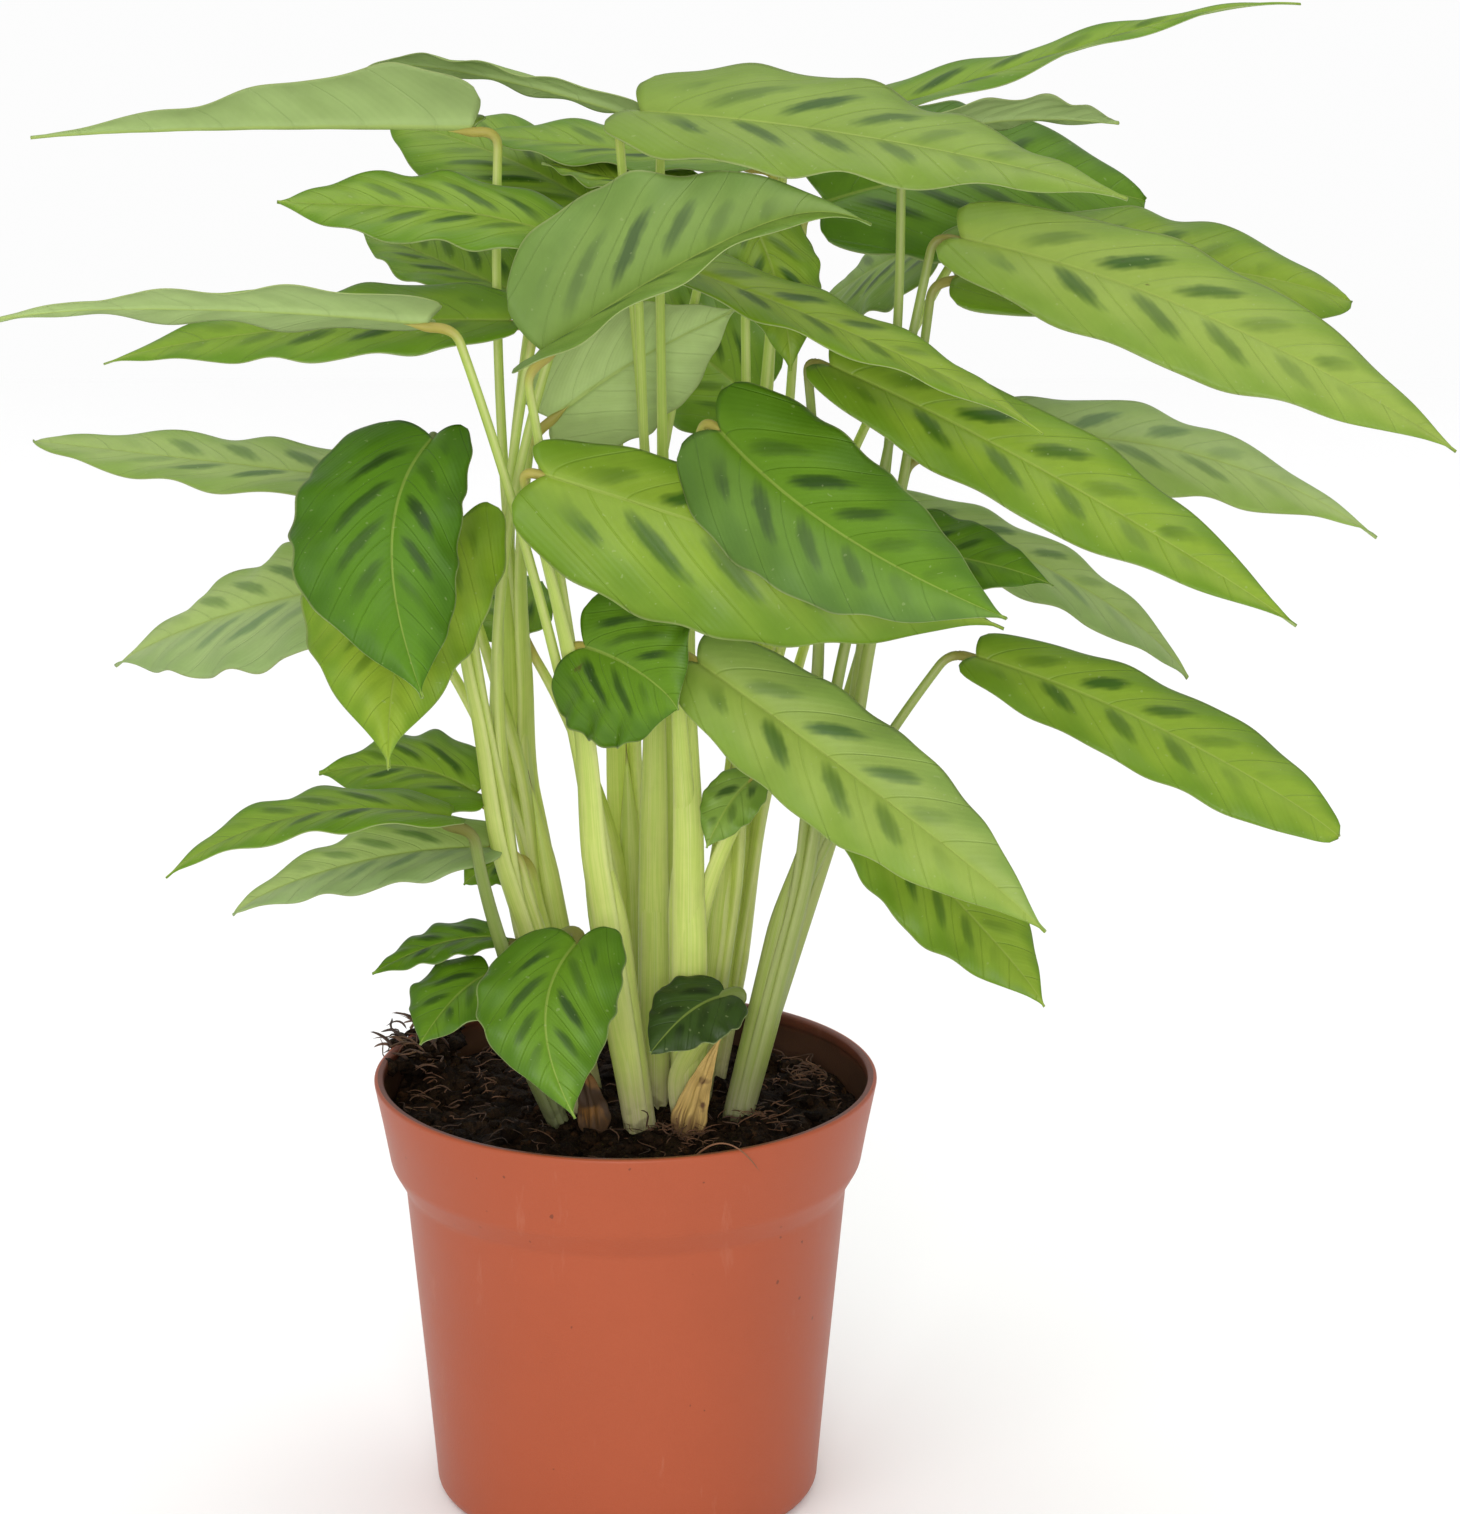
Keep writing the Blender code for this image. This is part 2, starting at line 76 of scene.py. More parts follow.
# A lamp: its place, its size and the setting that holds its power
LAMPS = {
    "key_lamp": ((-0.9, -1.6, 1.9), 1.2, "key_power"),
    "front_lamp": ((0.0, -2.2, 0.75), 0.8, "front_power"),
    "top_lamp": ((0.2, 0.5, 2.2), 1.6, "top_power"),
}

# Pot, in millimetres, as in the CAD
POT_RADIUS = 70.0
POT_HEIGHT = 122.0
WALL = 1.4
LIP_THICKNESS = 2.8
LIP_HEIGHT = 3.0
BAND_FOOT = (65.4, 98.0)
STEP = (61.4, 91.0)
BODY_FOOT = (53.6, 5.0)
BASE_RADIUS = 49.0
FLOOR_THICKNESS = 2.0
DRAIN_RADIUS = 4.0
DRAIN_CIRCLE = 32.0
DRAIN_COUNT = 6
SHARP_ANGLE = 50.0  # degrees
DUST_AND_SHADE_HEIGHTS = (0.112, 0.130)  # metres between which the dust and painted shade on the inner wall thin out

# Soil, in millimetres, with patterns sized in cells to the metre
SOIL_EDGE_Z = 110.0
SOIL_CROWN = 3.0
SOIL_GAP = 0.5  # between the soil and the pot's wall
CLOD = (-57.0, 24.0, 120.0)  # middle of the clod and its tuft of roots, by the rim
ROOT = ((15.0, -55.0, 111.0), (26.0, -66.5, 135.0), (37.0, -62.0, 116.0))  # curve over the rim
MOUND_HEIGHT = 5.0  # of the soil under the clod
MOUND_SPREAD = 160.0  # square millimetres
PEAT_GRAIN = 620.0
CRUMB_GRAIN = 900.0

# Noises of the soil's surface: size, shift, height and seed
SOIL_LUMPS = ((10.0, 40.0, 2.2, 1), (4.5, 60.0, 1.9, 2), (2.0, 80.0, 0.9, 3))

# Tangles of coir on the soil: middle and spread in x and y, and how many bits
TANGLES = (
    ((15, -27), (6, 3), 60),
    ((35, -17), (5, 3.5), 50),
    ((52, 24), (7, 9), 70),
    ((-48, 12), (7, 6), 45),
    ((-36, 44), (8, 5), 45),
)

# Stems and stalks, as in the CAD
STEM_FOOT_Z = 100.0
STALK_BOW = 0.45
ELBOW_REACH = 5.5
SEAT_LENGTH = 1.2

# Stems and stalks: what only their looks need, in millimetres and shares
GREEN_ELBOWS = ("dark", "rich")  # tones of the young blades, whose elbows stay green
STALK_SWAY = 3.2  # how far stalks bend to one side or the other between foot and elbow
UNDER_BLADE = 7.0  # how far a stalk runs on under its blade
BLADE_DROP = 1.5  # how far it lies below the blade there
SHEATH_DEPTH = 0.42  # half-thickness of a sheath as a share of the stem's radius
SHEATH_SPLAY = 0.42  # how far a sheath's middle lies from the stem's at its foot, likewise
SHEATH_WRAP = 0.30  # how far its edges bend back, as a share of its half-width
INNER_STEM = 0.82  # radius of the innermost sheath as a share of the stem's
ELBOW_SWELL = 0.12  # how much thicker a stalk is at its elbow
SKIN_HEIGHT = 260.0  # height above the soil over which a stalk's colour changes
FIBRE_STRETCH = 120.0  # length along a stalk that its fibres' pattern spreads over

# Blades, as in the CAD
SEAT_GAP = 0.5
BASE_SHARE = 0.4
BASE_ROUNDNESS = 2.2
TIP_HALF_WIDTH = 0.25
ARCH_LEAN = 0.4
HOOK_POWER = 8

# Blades: what only their looks need, in millimetres and shares
PLACE_TOLERANCE = 6.0  # how far a blade's middle may lie from its CAD node's
GROOVE_DEPTH = 0.30  # over the midrib
GROOVE_WIDTH = 0.9
COLUMN_CROWDING = 1.35  # power that draws a blade's columns of corners to its midrib
CELL_LENGTHS = (10.5, 21.0)  # least and most distance between side veins
BLADE_SEED = 100  # of the first blade's waves
SHEATH_SEED = 300

# Pattern of a blade: fine veins in a cell, and where a blotch lies and how far it reaches,
# as shares of the half-width
FINE_VEINS = 7.0
BLOTCH_MIDDLE = 0.27
BLOTCH_REACH = 0.24

# Colours of small marks, and tints that another colour is multiplied by
SHEEN_COLOUR = (0.36, 0.47, 0.27)
EDGE_COLOUR = (0.36, 0.42, 0.16)
FRECKLE_COLOUR = (0.42, 0.50, 0.22)
HURT_COLOUR = (0.085, 0.052, 0.014)
LINE_TINT = (0.84, 0.92, 0.66)
SHADE_TINT = (0.0, 0.10, 0.0)
GRIME_COLOUR = (0.085, 0.050, 0.024)
DRY_COLOUR = (0.20, 0.115, 0.040)
SCUFF_COLOUR = (0.50, 0.24, 0.16)
SPECK_COLOUR = (0.06, 0.022, 0.012)
# Dust and painted shade on the pot's inner wall
DUST_AND_SHADE_COLOUR = (0.050, 0.026, 0.015)
RUST_COLOUR = (0.085, 0.036, 0.014)

# Outline: how far along the blade it is widest, and how bluntly it falls to the tip
OUTLINES = {
    "wedge": (0.18, 1.0),
    "lance": (0.29, 1.4),
    "heart": (0.3, 2.0),
    "oval": (0.36, 1.8),
    "spear": (0.45, 1.7),
    "blunt": (0.4, 2.6),
    "paddle": (0.46, 2.6),
    "spoon": (0.6, 2.4),
}

# A stem: its foot (x, y), its top (x, y, z), and its radius at the foot and at the top
Shoot = namedtuple("Shoot", "foot top radii")
SHOOTS = {
    "shoot_left": Shoot((-6, -6), (-32, -14, 195), (4.6, 3.6)),
    "shoot_front": Shoot((6, -17), (-5, -25, 200), (5.2, 4.0)),
    "shoot_centre": Shoot((17, -10), (15, -22, 205), (5.0, 4.0)),
    "shoot_right": Shoot((28, -9), (48, -16, 195), (4.8, 3.8)),
    "shoot_far_right": Shoot((28, 5), (57, 12, 200), (4.6, 3.6)),
    "shoot_middle": Shoot((18, 6), (30, 4, 215), (4.8, 3.8)),
    "shoot_inner": Shoot((8, 0), (8, 2, 220), (4.8, 3.8)),
    "shoot_back_left": Shoot((-8, 9), (-27, 18, 205), (4.6, 3.6)),
    "shoot_back": Shoot((5, 18), (0, 30, 210), (4.6, 3.6)),
    "shoot_back_right": Shoot((22, 20), (35, 34, 205), (4.6, 3.6)),
    "shoot_low_left": Shoot((-14, -10), (-30, -24, 150), (3.4, 2.6)),
}

# A leaf, by its number: its shoot and how far up the stem its stalk leaves, its elbow and tip, its width,
# its roll in degrees, its trough and cup, the midrib's arch, hook and sway, its outline,
# how lopsided its halves are, its tone, how drawn out its tip is (under 1 is blunt) and how
# large the lobes at its base are.
Leaf = namedtuple(
    "Leaf",
    "shoot start elbow tip width roll trough cup arch hook sway outline lopsided tone point lobes",
    defaults=(0.0, "fresh", 1.3, 0.6),
)
LEAF_ROWS = {
    1: ("back_left", 0.7, (-40, 20, 385), (-160, 30, 380), 29, 36, 0.9, 0.2, 1, 1, 0, "wedge", 0, "soft"),
    2: ("inner", 0.9, (5, 10, 390), (-75, 60, 390), 24, 28, 0.3, 0.3, 2, 8, 0, "oval", 0, "pale"),
    3: ("inner", 0.7, (5, -10, 395), (130, -75, 385), 50, 20, 0.3, 0.3, 3, 2, 0, "lance", 0, "soft"),
    4: ("middle", 0.9, (50, 30, 380), (180, 5, 421), 34, 8, 0.3, 0.2, 1, 6, 0, "wedge"),
    # Leaf 5's deep tone is partly painted shadow: it lies in the shadow of leaf 3
    5: ("back_right", 0.8, (55, 40, 360), (145, 85, 351), 52, 44, 0.2, 0.3, 7, 0, 0,
        "paddle", 0, "deep", 0.7),
    6: ("far_right", 0.8, (80, 10, 385), (135, 50, 380), 28, -28, 0.3, 0.2, 3, 0, 0, "oval", 0, "pale"),
    7: ("right", 0.8, (90, -5, 360), (220, -40, 310), 40, 36, 0.2, 0.3, 6, 2, 0, "spear", 0, "bright"),
    8: ("far_right", 0.9, (90, 15, 345), (200, 50, 330), 46, 32, 0.2, 0.3, 6, 2, 0, "paddle", 0, "lime", 0.6),
    9: ("right", 0.75, (55, -25, 330), (175, -85, 275), 34, 32, 0.3, 0.3, 3, 1, 0, "spear", 0, "lime"),
    10: ("inner", 0.5, (10, -10, 355), (110, -60, 320), 28, 8, 0.2, 0.2, 2, 3, 0, "oval", 0, "sunny"),
    11: ("far_right", 0.7, (85, 40, 290), (210, 60, 260), 36, 28, 0.2, 0.3, 12, 3, 0, "spear", 0, "milky"),
    12: ("back_right", 0.4, (70, 60, 267), (159, 75, 215), 30, 28, 0.2, 0.3, 7, 4, 0, "blunt", 0, "pale"),
    13: ("middle", 0.5, (60, 2, 275), (115, -28, 270), 26, 40, 0.2, 0.2, 1, 2, 0, "oval", 0, "deep"),
    14: ("right", 0.4, (95, -15, 247), (190, -60, 210), 29, 34, 0.2, 0.3, 4, 2, 0,
        "spoon", 0, "lime", 0.55, 0.4),
    15: ("centre", 0.9, (26, -40, 316), (99, -110, 284), 44, 48, 0.25, 0.35, -3, 0, -5,
        "heart", 0, "deep", 1.3, 0.75),
    16: ("front", 0.9, (-20, -45, 305), (100, -70, 270), 42, 58, -0.2, 0.2, 1, 2, -2,
        "oval", 0.25, "lime", 1.6, 0.8),
    17: ("front", 0.6, (-10, -35, 255), (15, -60, 245), 46, 66, 0.2, 0.3, 2, 2, 0,
        "blunt", 0, "deep", 1.3, 0.6),
    18: ("centre", 0.6, (20, -45, 254), (110, -110, 200), 35, 42, 0.2, 0.3, 1, 2, 0, "spear", 0, "bright"),
    19: ("right", 0.6, (65, -20, 206), (113, -55, 161), 33, 28, 0.2, 0.3, 1, 2, 0, "spear", 0, "lime"),
    20: ("left", 0.9, (-50, -25, 310), (-50, -100, 260), 44, -8, 0.2, 0.3, 8, 3, -9,
        "paddle", 0.2, "rich", 1.6, 0.55),
    21: ("left", 0.7, (-45, -25, 285), (-60, -80, 235), 50, -10, 0.2, 0.3, 6, 3, -3,
        "heart", 0.2, "sunny", 1.7, 0.9),
    22: ("back_left", 0.5, (-70, 30, 255), (-145, 70, 220), 48, -35, 0.2, 0.3, 3, 2, 0, "oval", 0, "milky"),
    23: ("back_left", 0.6, (-60, 20, 286), (-165, 60, 288), 33, -13, 0.2, 0.2, 0, 0, 0,
        "blunt", 0, "pale", 0.6),
    24: ("front", 0.5, (-50, -40, 345), (-160, -60, 350), 32, 30, 0.3, 0.3, 2, 3, 0, "lance", 0, "pale", 1.5),
    25: ("left", 0.6, (-30, 5, 335), (-140, 10, 322), 32, -26, 0.2, 0.2, 3, 2, 0, "oval", 0, "fresh"),
    26: ("left", 0.8, (-15, -5, 360), (-90, -20, 373), 36, -22, 0.3, 0.3, 4, -2, 0, "blunt"),
    27: ("front", 0.7, (-20, -35, 335), (65, -60, 375), 48, 41, 0.9, 0.2, 3, 12, 0, "lance", 0, "grey"),
    28: ("back", 0.7, (-5, 50, 355), (-65, 80, 375), 42, -20, 0.2, 0.3, 3, 0, 0, "blunt", 0, "fresh", 0.8),
    29: ("back_right", 0.6, (35, 45, 370), (-40, 60, 375), 34, -10, 0.3, 0.2, 0, 0, 0,
        "blunt", 0, "fresh", 0.9),
    30: ("back", 0.5, (20, 25, 365), (-22, 45, 370), 26, -8, 0.3, 0.2, 0, 0, 0, "oval", 0, "lime"),
    31: ("back_left", 0.9, (-30, 40, 335), (-75, 80, 345), 32, -15, 0.3, 0.2, 0, 0, 0, "oval"),
    32: ("back_right", 0.7, (90, 60, 345), (55, 110, 315), 38, -48, 0.2, 0.3, 3, 0, 0, "oval", 0, "grey"),
    33: ("middle", 0.6, (35, 15, 360), (45, -10, 325), 26, 5, 0.3, 0.3, 4, 3, 0, "oval", 0, "lime"),
    34: ("back_left", 0.9, (-20, 17, 305), (30, 17, 335), 40, -76, 0.2, 0.3, 2, 0, 0, "oval", 0, "glow"),
    35: ("back_right", 0.5, (35, 60, 300), (-10, 100, 320), 42, -50, 0.2, 0.3, 3, 0, 0, "oval"),
    37: ("back", 0.4, (-28, 30, 240), (-42, 60, 250), 24, -20, 0.3, 0.3, 2, 0, 0, "oval"),
    38: ("left", 0.3, (-40, -9, 206), (-83, -4, 210), 36, -18, 0.3, 0.3, 5, 0, 0, "oval", 0, "fresh"),
    39: ("low_left", 0.9, (-46, -40, 208), (-120, -65, 200), 30, -5, 0.3, 0.3, 8, 3, 0, "oval"),
    40: ("left", 0.15, (-36, -13, 192), (-106, -20, 175), 30, -17, 0.3, 0.3, 4, 3, 0,
        "oval", 0, "milky", 0.7),
    41: ("left", 0.25, (-33, 6, 182), (-44, 1, 177), 16, -24, 0.3, 0.3, 1, 0, 0, "oval"),
    42: ("low_left", 0.5, (-34, -16, 167), (-68, -26, 160), 20, -10, 0.3, 0.3, 3, 0, 0, "oval", 0, "deep"),
    43: ("low_left", 0.7, (-36, -29, 161), (-54, -55, 150), 30, 0, 0.3, 0.3, 3, 0, 0,
        "oval", 0, "deep", 1.3, 0.8),
    44: ("low_left", 0.8, (-12, -50, 177), (-12, -85, 140), 38, 0, 0.2, 0.3, 6, 2, -8,
        "oval", 0, "deep", 1.5, 0.65),
    45: ("centre", 0.1, (28, -30, 155), (8, -48, 145), 24, -25, 0.2, 0.3, 3, 0, 0,
        "oval", 0, "dark", 0.9, 0.5),
    46: ("centre", 0.4, (35, -25, 215), (23, -38, 200), 16, -26, 0.3, 0.3, 2, 0, 0, "oval", 0, "grey"),
}
LEAVES = {f"leaf_{number:02d}": Leaf(*row) for number, row in LEAF_ROWS.items()}

# Paper of each dead sheath: its name, pale colour, brown colour and share of brown spots
PAPERS = {
    "dry_sheath": ("dry_paper", (0.60, 0.40, 0.12), (0.12, 0.055, 0.018), 0.0),
    "brown_sheath": ("brown_paper", (0.20, 0.088, 0.016), (0.050, 0.024, 0.008), 0.45),
}

# Dead sheaths that stand on the soil and lean on the stems: shaped as leaves are
SHEATHS = {
    "dry_sheath": Leaf("", 0, (16.5, -23, 111), (27, -26, 143), 10, -78, 0.5, 0.2, 1, 0, 0, "wedge"),
    "brown_sheath": Leaf("", 0, (-8.5, -20, 111.5), (-13, -22, 136), 9.5, 60, 0.5, 0.2, 1, 0, 0, "wedge"),
}

# How much darker and greener than the rest some stems are: painted shade, and for the right stems partly
# their greener colour
STEM_SHADES = {
    "shoot_right": 0.62,
    "shoot_far_right": 0.74,
    "shoot_low_left": 0.42,
}

# A tone: the blade's colour by its midrib, at its margin and in its blotches; some paler tones also paint
# backlight
Tone = namedtuple("Tone", "middle margin blotch")
TONES = {
    "fresh": Tone((0.240, 0.380, 0.030), (0.130, 0.265, 0.010), (0.046, 0.115, 0.006)),
    "lime": Tone((0.265, 0.390, 0.030), (0.150, 0.275, 0.012), (0.046, 0.118, 0.005)),
    "deep": Tone((0.135, 0.275, 0.010), (0.075, 0.180, 0.004), (0.030, 0.078, 0.006)),
    # Pale: partly a pale underside's own colour and partly painted backlight, for blades lit from behind
    "pale": Tone((0.365, 0.480, 0.140), (0.250, 0.380, 0.070), (0.100, 0.190, 0.040)),
    # Paler still: painted backlight and sheen
    "milky": Tone((0.430, 0.550, 0.175), (0.300, 0.440, 0.090), (0.120, 0.220, 0.050)),
    "sunny": Tone((0.320, 0.450, 0.036), (0.185, 0.320, 0.014), (0.058, 0.135, 0.006)),
    "grey": Tone((0.235, 0.360, 0.058), (0.150, 0.265, 0.028), (0.052, 0.105, 0.016)),
    "bright": Tone((0.330, 0.440, 0.075), (0.220, 0.345, 0.040), (0.056, 0.130, 0.012)),
    "soft": Tone((0.265, 0.380, 0.062), (0.200, 0.315, 0.036), (0.056, 0.125, 0.014)),
    "rich": Tone((0.105, 0.250, 0.006), (0.060, 0.165, 0.003), (0.024, 0.070, 0.003)),
    # Glow: painted backlight, for a blade in the plant's shade that light shines through
    "glow": Tone((0.620, 0.740, 0.280), (0.480, 0.620, 0.180), (0.220, 0.360, 0.080)),
    "dark": Tone((0.045, 0.090, 0.012), (0.028, 0.060, 0.006), (0.013, 0.028, 0.003)),
}

# Blemishes: place along the blade and across it, size in those shares, and depth
BLEMISHES = {
    "leaf_17": ((0.12, -0.30, 0.035, 0.8), (0.10, -0.42, 0.02, 0.7)),
    "leaf_07": ((0.30, 0.30, 0.012, 1.0), (0.36, 0.12, 0.010, 1.0), (0.45, 0.42, 0.010, 0.9)),
    "leaf_14": ((0.22, 0.45, 0.012, 0.6),),
    "leaf_03": ((0.52, -0.30, 0.010, 0.7),),
}

# Halves that catch the light and look greyer: the half (1 or -1) and how strongly
SHEENS = {
    "leaf_15": (-1, 0.25),
    "leaf_22": (1, 0.9),
    "leaf_40": (1, 1.0),
    "leaf_18": (1, 0.3),
    "leaf_11": (1, 0.4),
    "leaf_12": (-1, 0.6),
    "leaf_27": (1, 0.3),
}


# Numbers worked out on whole arrays


def soft_step(value, low, high):
    """S-curve from 0 at low to 1 at high."""
    share = np.clip((value - low) / (high - low), 0.0, 1.0)
    return share * share * (3.0 - 2.0 * share)


def lattice_noise(u, v, seed):
    """Random heights at whole numbers, joined by an S-curve in both directions; -1 to 1."""
    size = 128
    heights = np.random.default_rng(seed).uniform(-1.0, 1.0, (size, size))
    low_u, low_v = np.floor(u).astype(int), np.floor(v).astype(int)
    share_u, share_v = soft_step(u - low_u, 0.0, 1.0), soft_step(v - low_v, 0.0, 1.0)

    def row(number):
        here, beside = heights[low_u % size, number], heights[(low_u + 1) % size, number]
        return here * (1.0 - share_u) + beside * share_u

    return row(low_v % size) * (1.0 - share_v) + row((low_v + 1) % size) * share_v


def unit(vectors):
    """Each vector divided by its own length."""
    return vectors / np.maximum(np.linalg.norm(vectors, axis=-1, keepdims=True), 1e-9)


def around(sides):
    """Equal turns round a circle."""
    return np.arange(sides) * 2.0 * math.pi / sides


def distance_along(path):
    """Length of a path up to each of its points."""
    return np.append(0.0, np.cumsum(np.linalg.norm(np.diff(path, axis=0), axis=1)))


def curve(start, control, end, u):
    """Points of a quadratic curve at shares u of its way."""
    return start * (1 - u) ** 2 + control * 2 * u * (1 - u) + end * u * u


def bezier(start, control, end, count):
    """Points of a quadratic curve at equal steps, without the first."""
    return curve(start, control, end, np.linspace(0.0, 1.0, count + 1)[1:, None])


def ring_faces(rows, sides):
    """Quads between each ring of corners and the next, for rings that run anticlockwise."""
    here = np.arange(rows * sides).reshape(rows, sides)
    beside = np.roll(here, -1, axis=1)
    corners = (here[:-1], beside[:-1], beside[1:], here[1:])
    return np.stack(corners, axis=-1).reshape(-1, 4)


def shell_faces(rows, columns):
    """Quads of a closed flat shell: an upper grid, a lower grid, and a rim that joins them."""
    here = np.arange(rows * columns).reshape(rows, columns)
    upper = np.stack([here[:-1, :-1], here[1:, :-1], here[1:, 1:], here[:-1, 1:]], axis=-1)
    upper = upper.reshape(-1, 4)
    lower = upper[:, ::-1] + rows * columns
    edge = np.concatenate([here[0, :-1], here[:-1, -1], here[-1, :0:-1], here[:0:-1, 0]])
    ahead = np.roll(edge, -1)
    rim = np.stack([edge, ahead, ahead + rows * columns, edge + rows * columns], axis=-1)
    return upper, lower, rim


def repeated(faces, corner_count, copies):
    """The same faces for each of many copies whose corners follow one another."""
    steps = np.arange(copies)[:, None, None] * corner_count
    return (faces[None] + steps).reshape(-1, faces.shape[-1])


# Meshes and pieces


def make_piece(name, corners, faces, materials, faces_material=None, marks=None):
    """Object at the origin from corners in millimetres and quads, with doubles merged.
    Marks are named numbers or vectors, one for each corner."""
    mesh = bpy.data.meshes.new(name)
    corners = np.asarray(corners, dtype=np.float32).reshape(-1, 3) * MM
    mesh.vertices.add(len(corners))
    mesh.vertices.foreach_set("co", corners.ravel())
    mesh.loops.add(faces.size)
    mesh.loops.foreach_set("vertex_index", faces.astype(np.int32).ravel())
    mesh.polygons.add(len(faces))
    mesh.polygons.foreach_set("loop_start", np.arange(len(faces), dtype=np.int32) * faces.shape[1])
    if faces_material is not None:
        mesh.polygons.foreach_set("material_index", faces_material.astype(np.int32))
    mesh.update(calc_edges=True)
    for key, values in (marks or {}).items():
        values = np.asarray(values, dtype=np.float32)
        kind, field = ("FLOAT_VECTOR", "vector") if values.ndim == 2 else ("FLOAT", "value")
        mesh.attributes.new(key, kind, "POINT").data.foreach_set(field, values.ravel())
    work = bmesh.new()
    work.from_mesh(mesh)
    bmesh.ops.remove_doubles(work, verts=work.verts, dist=WELD)
    work.to_mesh(mesh)
    work.free()
    mesh.shade_smooth()
    for material in materials:
        mesh.materials.append(material)
    piece = bpy.data.objects.new(name, mesh)
    bpy.context.scene.collection.objects.link(piece)
    return piece


def attach(piece, slot, *nodes):
    """Says what a piece rides on and hides the CAD nodes it stands for. The slot is not used."""
    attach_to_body(piece, BODY)
    if nodes:
        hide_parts(*nodes)


def check_place(name, corners):
    """Stops if a blade's middle lies far from the middle of its CAD node."""
    low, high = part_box(name)
    middle = (np.array(low) + np.array(high)) / 2.0 / MM
    flat = corners.reshape(-1, 3)
    apart = np.abs((flat.min(axis=0) + flat.max(axis=0)) / 2.0 - middle).max()
    if apart > PLACE_TOLERANCE:
        raise RuntimeError(f"{name} lies {apart:.1f} mm from its CAD node")


# Shader arithmetic


class Value:
    """A shader socket that takes part in arithmetic: each operation adds a Math node."""

    def __init__(self, node, key):
        self.tree = node.id_data
        self.socket = node.outputs[key]

    def __add__(self, other):
        return calc("ADD", self, other)

    def __sub__(self, other):
        return calc("SUBTRACT", self, other)

    def __rsub__(self, other):
        return calc("SUBTRACT", other, self)

    def __mul__(self, other):
        return calc("MULTIPLY", self, other)

    def __truediv__(self, other):
        return calc("DIVIDE", self, other)

    def __pow__(self, other):
        return calc("POWER", self, other)

    def __abs__(self):
        return calc("ABSOLUTE", self)


def feed(socket, value):
    """Links a value to an input, or sets the input to a number, a vector or a colour."""
    if isinstance(value, Value):
        value.tree.links.new(value.socket, socket)
    else:
        socket.default_value = (*value[:3], 1.0) if socket.type == "RGBA" else value


def add_node(tree, kind, inputs=None, **settings):
    """A node with its own settings, its inputs fed by name or number."""
    made = tree.nodes.new(kind)
    for key, value in settings.items():
        setattr(made, key, value)
    for key, value in (inputs or {}).items():
        feed(made.inputs[key], value)
    return made


def calc(operation, first, second=0.0, clamp=False):
    """Math node on values or numbers, at least one of them a value."""
    tree = first.tree if isinstance(first, Value) else second.tree
    made = add_node(tree, "ShaderNodeMath", {0: first, 1: second}, operation=operation, use_clamp=clamp)
    return Value(made, "Value")


def fade(value, low, high):
    """Smooth ramp from 0 at low to 1 at high."""
    inputs = {"Value": value, "From Min": low, "From Max": high}
    made = add_node(value.tree, "ShaderNodeMapRange", inputs, interpolation_type="SMOOTHSTEP")
    return Value(made, "Result")


def mix(share, first, second, blend_type="MIX"):
    """Mixes two colours, at least one of the three being a value."""
    tree = next(x.tree for x in (share, first, second) if isinstance(x, Value))
    inputs = {0: share, 6: first, 7: second}
    made = add_node(tree, "ShaderNodeMix", data_type="RGBA", blend_type=blend_type)
    for key, value in inputs.items():
        feed(made.inputs[key], value)
    return Value(made, 2)


def mark(tree, name, output="Fac"):
    """Reads a named mark of the mesh."""
    return Value(add_node(tree, "ShaderNodeAttribute", attribute_name=name), output)


def noise(where, scale, detail=2.0, roughness=0.5):
    """Noise from 0 to 1 at a place."""
    inputs = {"Vector": where, "Scale": scale, "Detail": detail, "Roughness": roughness}
    return Value(add_node(where.tree, "ShaderNodeTexNoise", inputs), "Fac")


def place_in_metres(tree):
    """Object coordinates."""
    return Value(add_node(tree, "ShaderNodeTexCoord"), "Object")


def combine(x, y):
    """A vector from two numbers."""
    return Value(add_node(x.tree, "ShaderNodeCombineXYZ", {"X": x, "Y": y}), "Vector")


def colour_parts(node):
    """Red, green and blue of a node's colour."""
    split = add_node(node.id_data, "ShaderNodeSeparateColor", {"Color": Value(node, "Color")})
    return [Value(split, key) for key in ("Red", "Green", "Blue")]


# Node groups


def wire_mottle(tree, given):
    """Cloudy light and dark patches over any finish: noise at two sizes, about 1."""
    where = place_in_metres(tree)
    both = noise(where, given["Size"], 3.0, 0.55) * 0.7 + noise(where, given["Size"] * 6.0) * 0.3
    factor = (both - 0.5) * 2.0 * given["Amount"] + 1.0
    inputs = {0: given["Colour"], "Scale": factor}
    scaled = add_node(tree, "ShaderNodeVectorMath", inputs, operation="SCALE")
    return {"Colour": Value(scaled, "Vector"), "Patches": both}


